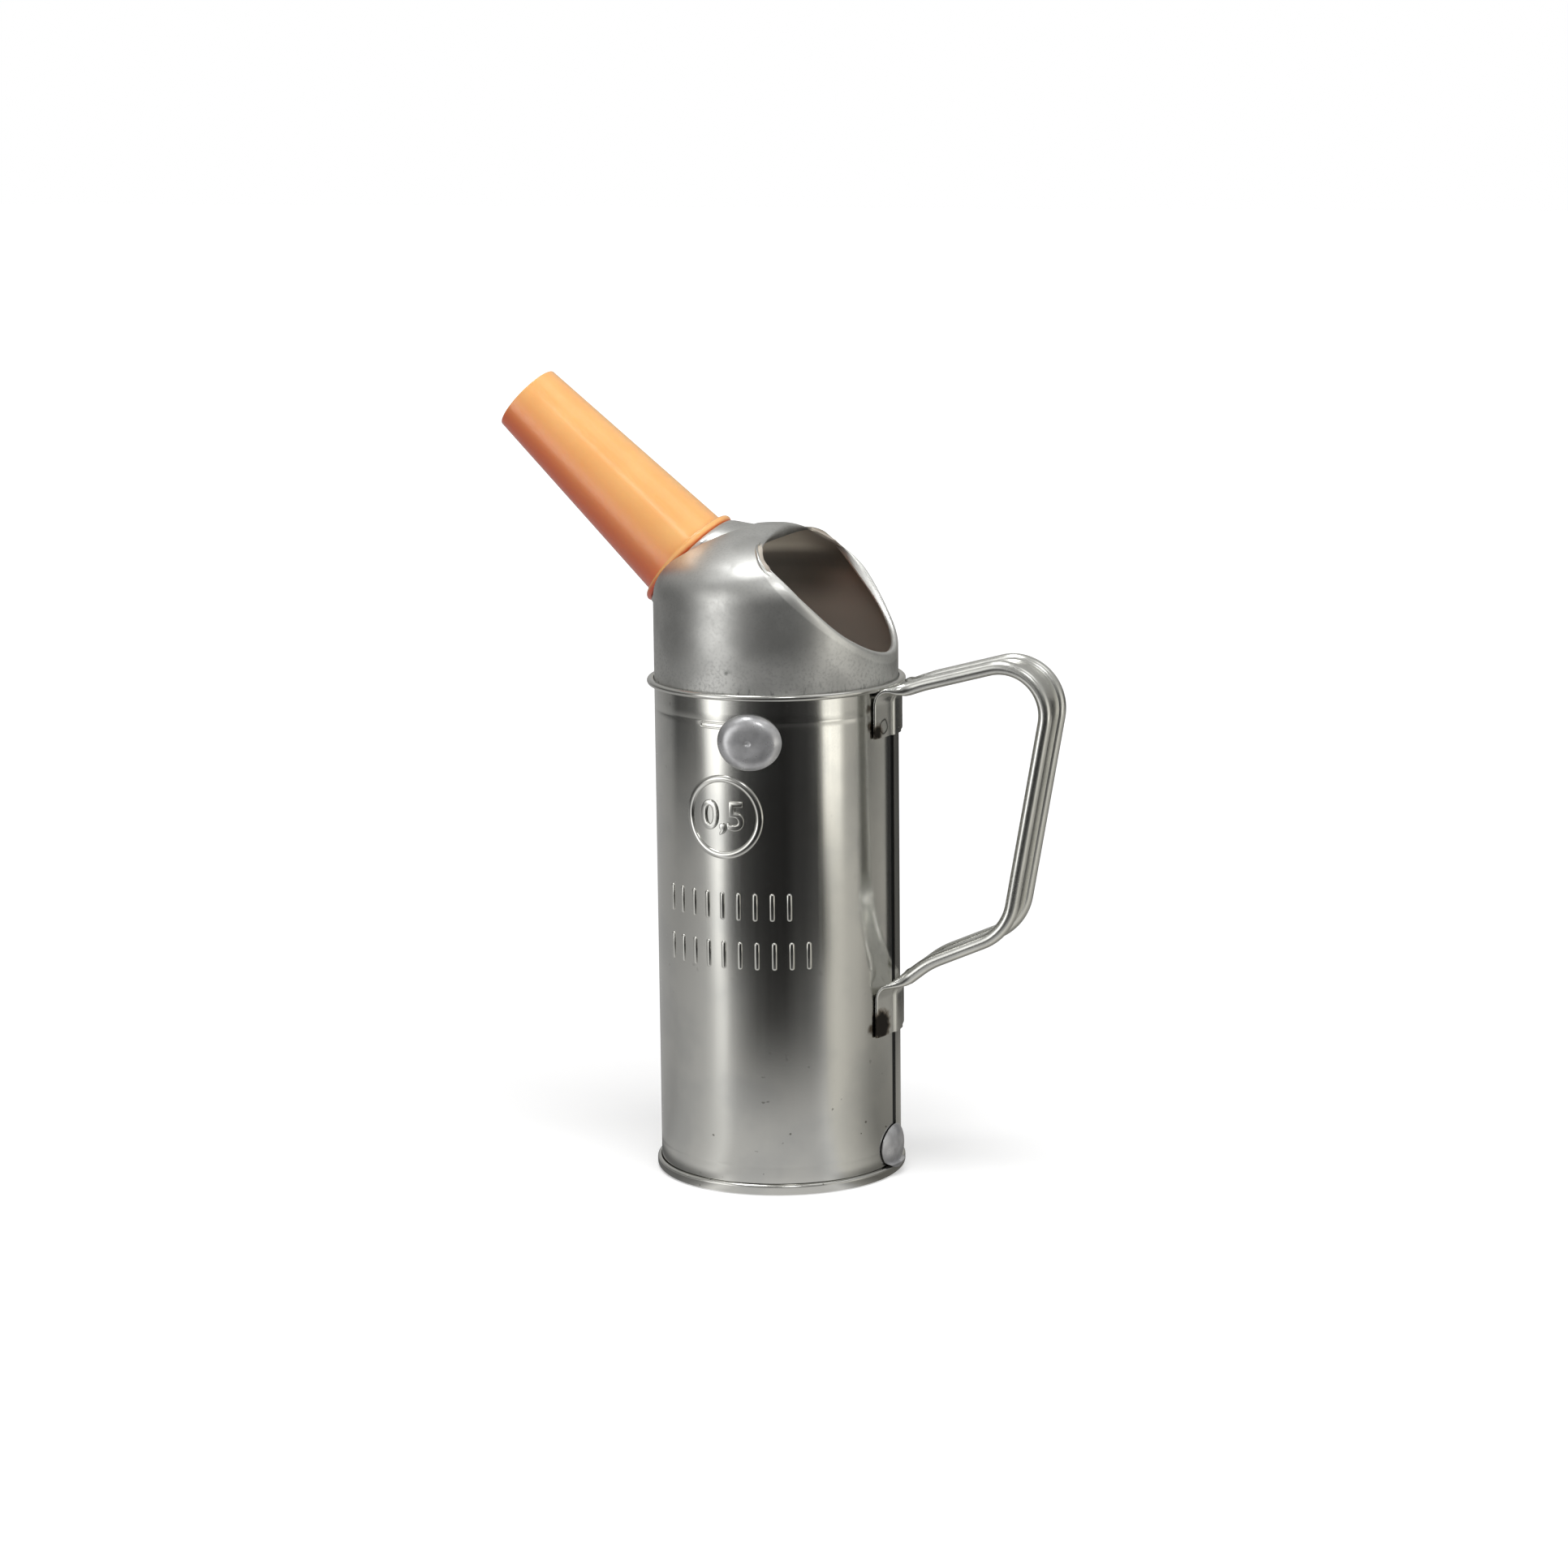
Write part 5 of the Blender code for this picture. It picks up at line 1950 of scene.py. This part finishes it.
@dataclass
class Studio:
    """Pale floor, soft surroundings, lamps and the camera at the photograph's place.

    Each row of stops is a panorama: angles in degrees from the camera's side to the right, with
    the grey level there. The high stops paint the room and the floor far off, the others paint
    the floor in rings, down to the foot stops beside the jug, which are darker behind and beside
    it as a painted shadow of the jug. A ring gives way to the next further out over that one's
    distances.
    """

    azimuth: float = math.radians(20.0)
    elevation: float = math.radians(10.695)
    distance: float = 1150.0 * MM
    aim_height: float = 112.5 * MM
    side_step: float = 1.86 * MM
    roll: float = math.radians(-0.634)
    lens: float = 91.64
    sensor: float = 36.0
    near_clip: float = 10.0 * MM
    white: Colour = (1.0, 1.0, 1.0)
    ceiling: Colour = (0.45, 0.45, 0.44)
    ceiling_rise: Span = (-0.05, 0.6)
    even: Colour = (0.44, 0.44, 0.44)
    warm_side: float = 38.0
    warmth: float = 0.09
    least_warmth: float = 0.015
    green_share: float = 0.25
    patch_soft_share: float = 0.35
    floor_size: float = 12.0
    floor_spans: int = 4
    floor_colour: Colour = (0.78, 0.78, 0.78)
    bounce_colour: Colour = (0.4, 0.4, 0.4)
    near_glow: Colour = (0.35, 0.35, 0.35)
    far_glow: Colour = (0.85, 0.85, 0.85)
    glow_distances: Span = (0.2, 1.6)
    near_distances: Span = (0.043, 0.056)
    low_distances: Span = (0.065, 0.25)
    mid_distances: Span = (0.27, 0.36)
    far_distances: Span = (0.42, 0.82)
    high_distances: Span = (0.88, 1.02)
    card_place: Triple = (0.13, 0.185, 0.07)
    card_size: Triple = (0.09, 0.14, 1.0)
    card_colour: Colour = (0.03, 0.03, 0.03)
    lamp_distance: float = 1.5
    lamps: tuple[Lamp, ...] = (
        Lamp("key_lamp", 0.0, math.radians(70.0), 0.9, 15.0),
        Lamp("fill_lamp", math.radians(45.0), math.radians(12.0), 0.8, 8.0),
    )
    patches: tuple[Patch, ...] = (
        Patch(-70.0, 50.0, 10.0, 1.5),
        Patch(80.0, 62.0, 14.0, 1.3),
        Patch(-157.0, 67.0, 5.0, 4.0),
        Patch(-131.0, 74.0, 7.0, 8.0),
        Patch(-86.0, 75.0, 7.0, 8.5),
        Patch(-61.0, 69.0, 6.0, 7.0),
        Patch(10.0, 45.0, 6.0, 6.0),
    )
    high_stops: tuple[Span, ...] = (
        (-180.0, 0.42), (-150.0, 0.3), (-125.0, 0.1), (-100.0, 0.08), (-80.0, 0.15), (-75.0, 0.8),
        (-70.0, 1.9), (-62.0, 2.4), (-52.0, 2.3), (-46.0, 1.7), (-41.0, 1.0), (-36.0, 0.5),
        (-30.0, 0.26), (-22.0, 0.13), (-10.0, 0.05), (8.0, 0.04), (24.0, 0.06), (36.0, 0.1),
        (40.0, 0.3), (43.0, 0.7), (47.0, 0.95), (54.0, 0.85), (62.0, 0.8), (70.0, 0.9),
        (76.0, 0.85), (82.0, 0.5), (88.0, 0.3), (96.0, 0.12), (110.0, 0.1), (130.0, 0.2),
        (180.0, 0.42),
    )
    far_stops: tuple[Span, ...] = (
        (-180.0, 0.42), (-135.0, 0.36), (-116.0, 0.28), (-108.0, 0.07), (-92.0, 0.07),
        (-84.0, 0.1), (-77.0, 0.13), (-73.0, 0.25), (-69.0, 0.75), (-65.0, 1.65), (-54.5, 2.0),
        (-51.5, 1.2), (-47.5, 0.45), (-43.0, 0.18), (-38.0, 0.05), (-30.0, 0.03), (8.0, 0.012),
        (37.0, 0.04), (41.0, 0.28), (44.0, 2.2), (59.0, 1.9), (62.5, 0.8),
        (66.0, 0.46), (72.0, 0.36), (84.0, 0.32), (92.0, 0.16), (100.0, 0.28), (126.0, 0.42),
        (138.0, 0.1), (170.0, 0.04), (180.0, 0.2),
    )
    mid_stops: tuple[Span, ...] = (
        (-180.0, 0.42), (-120.0, 0.37), (-103.0, 0.36), (-85.0, 0.41), (-77.0, 0.45),
        (-70.0, 0.5), (-66.0, 0.62), (-62.0, 0.95), (-57.0, 1.42), (-53.5, 1.15), (-50.0, 0.58),
        (-46.0, 0.24), (-40.0, 0.08), (-32.0, 0.05), (-15.0, 0.025), (8.0, 0.015), (13.0, 0.035),
        (37.0, 0.05), (42.0, 0.1), (46.0, 0.35), (50.0, 0.65), (58.0, 0.68), (66.0, 0.6),
        (74.0, 0.58), (82.0, 0.54), (90.0, 0.42), (99.0, 0.33), (126.0, 0.45),
        (138.0, 0.12), (170.0, 0.05), (180.0, 0.3),
    )
    low_stops: tuple[Span, ...] = (
        (-180.0, 0.42), (-110.0, 0.4), (-85.0, 0.46), (-70.0, 0.53), (-62.0, 0.7), (-56.0, 1.0),
        (-50.0, 1.04), (-44.0, 0.5), (-38.0, 0.33), (-32.0, 0.22), (-26.0, 0.13), (-20.0, 0.08),
        (-10.0, 0.04), (5.0, 0.035), (14.0, 0.08), (27.0, 0.13), (33.0, 0.2), (38.0, 0.33),
        (44.0, 0.6), (50.0, 0.72), (57.0, 0.7), (64.0, 0.61), (78.0, 0.5), (86.0, 0.38),
        (95.0, 0.32), (118.0, 0.38), (130.0, 0.12), (165.0, 0.07), (180.0, 0.3),
    )
    near_stops: tuple[Span, ...] = (
        (-180.0, 0.4), (-110.0, 0.36), (-92.0, 0.46), (-76.0, 0.51), (-66.0, 0.56), (-58.0, 0.64),
        (-52.0, 0.74), (-46.0, 0.84), (-41.0, 0.74), (-37.0, 0.63), (-30.0, 0.6), (0.0, 0.58),
        (24.0, 0.58), (30.0, 0.63), (36.0, 0.73), (44.0, 0.74), (50.0, 0.67), (56.0, 0.58),
        (62.0, 0.5), (68.0, 0.42), (75.0, 0.32), (85.0, 0.24), (110.0, 0.25), (180.0, 0.4),
    )
    # The floor right by the jug's foot, darker behind and beside it: a painted shadow of the jug, seen
    # only in reflections.
    foot_shadow_stops: tuple[Span, ...] = (
        (-180.0, 0.1), (-110.0, 0.12), (-62.0, 0.17), (-50.0, 0.22), (-45.0, 0.3), (-41.0, 0.48),
        (-38.0, 0.7), (-34.0, 0.88), (-30.0, 0.78), (-26.0, 0.67), (0.0, 0.65), (20.0, 0.64),
        (26.0, 0.7), (29.0, 0.75), (32.5, 0.62), (36.0, 0.43), (40.0, 0.33), (46.0, 0.24),
        (54.0, 0.15), (110.0, 0.12), (180.0, 0.1),
    )

    def front(self) -> Vector:
        """Level direction from the jug to the camera."""
        return Vector((math.sin(self.azimuth), -math.cos(self.azimuth), 0.0))

    def right(self) -> Vector:
        """Level direction to the picture's right."""
        return Vector((math.cos(self.azimuth), math.sin(self.azimuth), 0.0))

    def camera(self) -> None:
        """Add the camera."""
        data = bpy.data.cameras.new("camera")
        data.lens = self.lens
        data.sensor_width = self.sensor
        data.clip_start = self.near_clip
        data.clip_end = 2.0 * self.floor_size
        camera = bpy.data.objects.new("camera", data)
        bpy.context.scene.collection.objects.link(camera)
        back = self.front() * math.cos(self.elevation) + UP * math.sin(self.elevation)
        right = self.right()
        over = back.cross(right)
        place = UP * self.aim_height + back * self.distance + right * self.side_step
        turn = Matrix((right, over, back)).transposed().to_4x4()
        camera.matrix_world = Matrix.Translation(place) @ turn @ Matrix.Rotation(self.roll, 4, "Z")
        bpy.context.scene.camera = camera

    def angle(self, graph: Graph, vector: bpy.types.NodeSocket) -> Value:
        """Level angle of a direction from the camera's side, to the right, in degrees."""
        turn = graph.math("ARCTAN2", graph.dot(vector, self.right()), graph.dot(vector, self.front()))
        return turn * math.degrees(1.0)

    def towards(self, side: float, height: float) -> Vector:
        """Direction at an angle from the camera's side, to the right, and a height."""
        level = self.front() * math.cos(side) + self.right() * math.sin(side)
        return level * math.cos(height) + UP * math.sin(height)

    def panorama(self, graph: Graph, angle: Value, stops: Sequence[Span]) -> bpy.types.NodeSocket:
        """Grey levels round the horizon, slightly warm on the right.

        Args:
            graph: The graph that shows them.
            angle: Direction in degrees from the camera's side, to the right.
            stops: Angles in rising order, each with its level.

        Returns:
            The colour.
        """
        made = graph.node("ShaderNodeValToRGB", {}, {"Fac": angle / FULL_TURN + 0.5})
        ramp = made.color_ramp.elements
        while len(ramp) < len(stops):
            ramp.new(0.5)
        for mark, (turn, level) in zip(ramp, stops):
            mark.position = turn / FULL_TURN + 0.5
            warm = self.warmth if turn > self.warm_side else self.least_warmth
            mark.color = (level, level * (1.0 - warm * self.green_share), level * (1.0 - warm), 1.0)
        return made.outputs["Color"]

    def patch_share(self, graph: Graph, vector: bpy.types.NodeSocket, patch: Patch) -> Value:
        """1 inside a patch of the sky, with a soft edge.

        Args:
            graph: The world's graph.
            vector: Direction looked in.
            patch: The patch.

        Returns:
            The patch's strength.
        """
        centre = self.towards(math.radians(patch.side), math.radians(patch.height))
        outer = math.radians((1.0 + self.patch_soft_share) * patch.radius)
        inner = math.radians((1.0 - self.patch_soft_share) * patch.radius)
        return graph.dot(vector, centre).rise(math.cos(outer), math.cos(inner))

    def world(self) -> None:
        """Plain white to the camera, even light for colours, a studio for reflections."""
        world = bpy.data.worlds.new("studio")
        bpy.context.scene.world = world
        world.use_nodes = True
        graph = Graph(world.node_tree)
        direction = graph.node("ShaderNodeTexCoord", {}, {}).outputs["Generated"]
        _, _, level = graph.parts(direction)
        room = self.panorama(graph, self.angle(graph, direction), self.high_stops)
        room = graph.blend(level.rise(*self.ceiling_rise), room, self.ceiling)
        for patch in self.patches:
            share = self.patch_share(graph, direction, patch)
            room = graph.blend(share, room, (patch.level, patch.level, patch.level))
        colour = graph.blend(graph.ray("Is Glossy Ray"), self.even, room)
        colour = graph.blend(graph.ray("Is Camera Ray"), colour, self.white)
        back = graph.node("ShaderNodeBackground", {}, {"Color": colour, "Strength": 1.0})
        graph.node("ShaderNodeOutputWorld", {}, {"Surface": back.outputs["Background"]})
        world.cycles.sampling_method = "NONE"

    def floor(self) -> None:
        """The pale floor, which metal sees pale near the jug and dim further off."""
        deselect()
        spans, size = self.floor_spans, self.floor_size
        bpy.ops.mesh.primitive_grid_add(x_subdivisions=spans, y_subdivisions=spans, size=size)
        floor = bpy.context.object
        floor.name = "floor"
        mat, graph = new_graph("floor_paint")
        place = graph.place()
        distance = Value(graph, graph.vector("LENGTH", place).outputs["Value"])
        angle = self.angle(graph, place)
        seen = self.panorama(graph, angle, self.foot_shadow_stops)
        for distances, stops in (
            (self.near_distances, self.near_stops),
            (self.low_distances, self.low_stops),
            (self.mid_distances, self.mid_stops),
            (self.far_distances, self.far_stops),
            (self.high_distances, self.high_stops),
        ):
            seen = graph.blend(distance.rise(*distances), seen, self.panorama(graph, angle, stops))
        camera_ray = graph.ray("Is Camera Ray")
        paint = graph.blend(camera_ray, self.bounce_colour, self.floor_colour)
        shade = graph.node("ShaderNodeBsdfDiffuse", {}, {"Color": paint}).outputs["BSDF"]
        lit = graph.blend(distance.rise(*self.glow_distances), self.near_glow, self.far_glow)
        lifted = graph.node("ShaderNodeAddShader", {}, {0: shade, 1: graph.glow(lit)}).outputs[0]
        plain = graph.either(camera_ray, shade, lifted)
        graph.show(graph.either(graph.ray("Is Glossy Ray"), plain, graph.glow(seen)))
        mat.cycles.emission_sampling = "NONE"
        floor.data.materials.append(mat)

    def card(self) -> None:
        """A black card behind the handle, which only shiny metal sees."""
        deselect()
        bpy.ops.mesh.primitive_plane_add(
            size=1.0, location=self.card_place, rotation=(QUARTER, 0.0, 0.0)
        )
        card = bpy.context.object
        card.name = "black_card"
        card.scale = self.card_size
        settle(card)
        mat, graph = new_graph("card_paint")
        graph.show(graph.glow(self.card_colour))
        card.data.materials.append(mat)
        card.visible_camera = False
        card.visible_diffuse = False
        card.visible_shadow = False

    def hang(self, lamp: Lamp) -> None:
        """Add a lamp that is turned to the jug.

        Args:
            lamp: The lamp.
        """
        data = bpy.data.lights.new(lamp.name, "AREA")
        data.size = lamp.size
        data.energy = lamp.power
        hung = bpy.data.objects.new(lamp.name, data)
        bpy.context.scene.collection.objects.link(hung)
        towards = self.towards(lamp.side, lamp.height)
        hung.location = UP * self.aim_height + towards * self.lamp_distance
        hung.rotation_euler = towards.to_track_quat("Z", "Y").to_euler()
        hung.visible_glossy = False

    def build(self) -> None:
        """Set up the whole studio."""
        bpy.context.scene.view_settings.view_transform = "Standard"
        self.camera()
        self.world()
        self.floor()
        self.card()
        for lamp in self.lamps:
            self.hang(lamp)


def main() -> None:
    """Build the jug's finished pieces, then the studio."""
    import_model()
    logging.basicConfig(level=logging.INFO, format="%(message)s")
    tube = Tube()
    base = Base(tube)
    hood = Hood(tube)
    spout = Spout(hood)
    handle = Handle(tube)
    mouth, _, mouth_normal = hood.mouth_frame()
    bright = BrightTinplate(seam_angles=tube.seam_angles, burns_and_shadows=tube.burns_and_shadows()).build()
    drawn = DrawnTinplate(mouth, mouth_normal).build()
    strap = PolishedStrap(burns_and_shadows=handle.burns_and_shadows(), welds=handle.welds()).build()
    orange = OrangePlastic().build()
    solder = Solder().build()
    pieces = [
        Piece(tube.build(), bright, Body.JUG, Slot.TUBE, "body_tube"),
        Piece(base.build(), bright, Body.JUG, Slot.TUBE, "base_plate"),
        Piece(hood.build(), drawn, Body.JUG, Slot.HOOD, "hood"),
        Piece(spout.build(), orange, Body.SPOUT, Slot.PLASTIC, "spout"),
        Piece(handle.build(), strap, Body.JUG, Slot.STRAP, "handle"),
        Piece(upper_seal(tube, base).build(), solder, Body.JUG, Slot.SOLDER, "upper_seal"),
        Piece(lower_seal(tube, base).build(), solder, Body.JUG, Slot.SOLDER, "lower_seal"),
    ]
    pieces += [Piece(mark, bright, Body.JUG, Slot.TUBE) for mark in Markings(tube).build()]
    for piece in pieces:
        piece.fit()
    Studio().build()


if __name__ == "__main__":
    main()
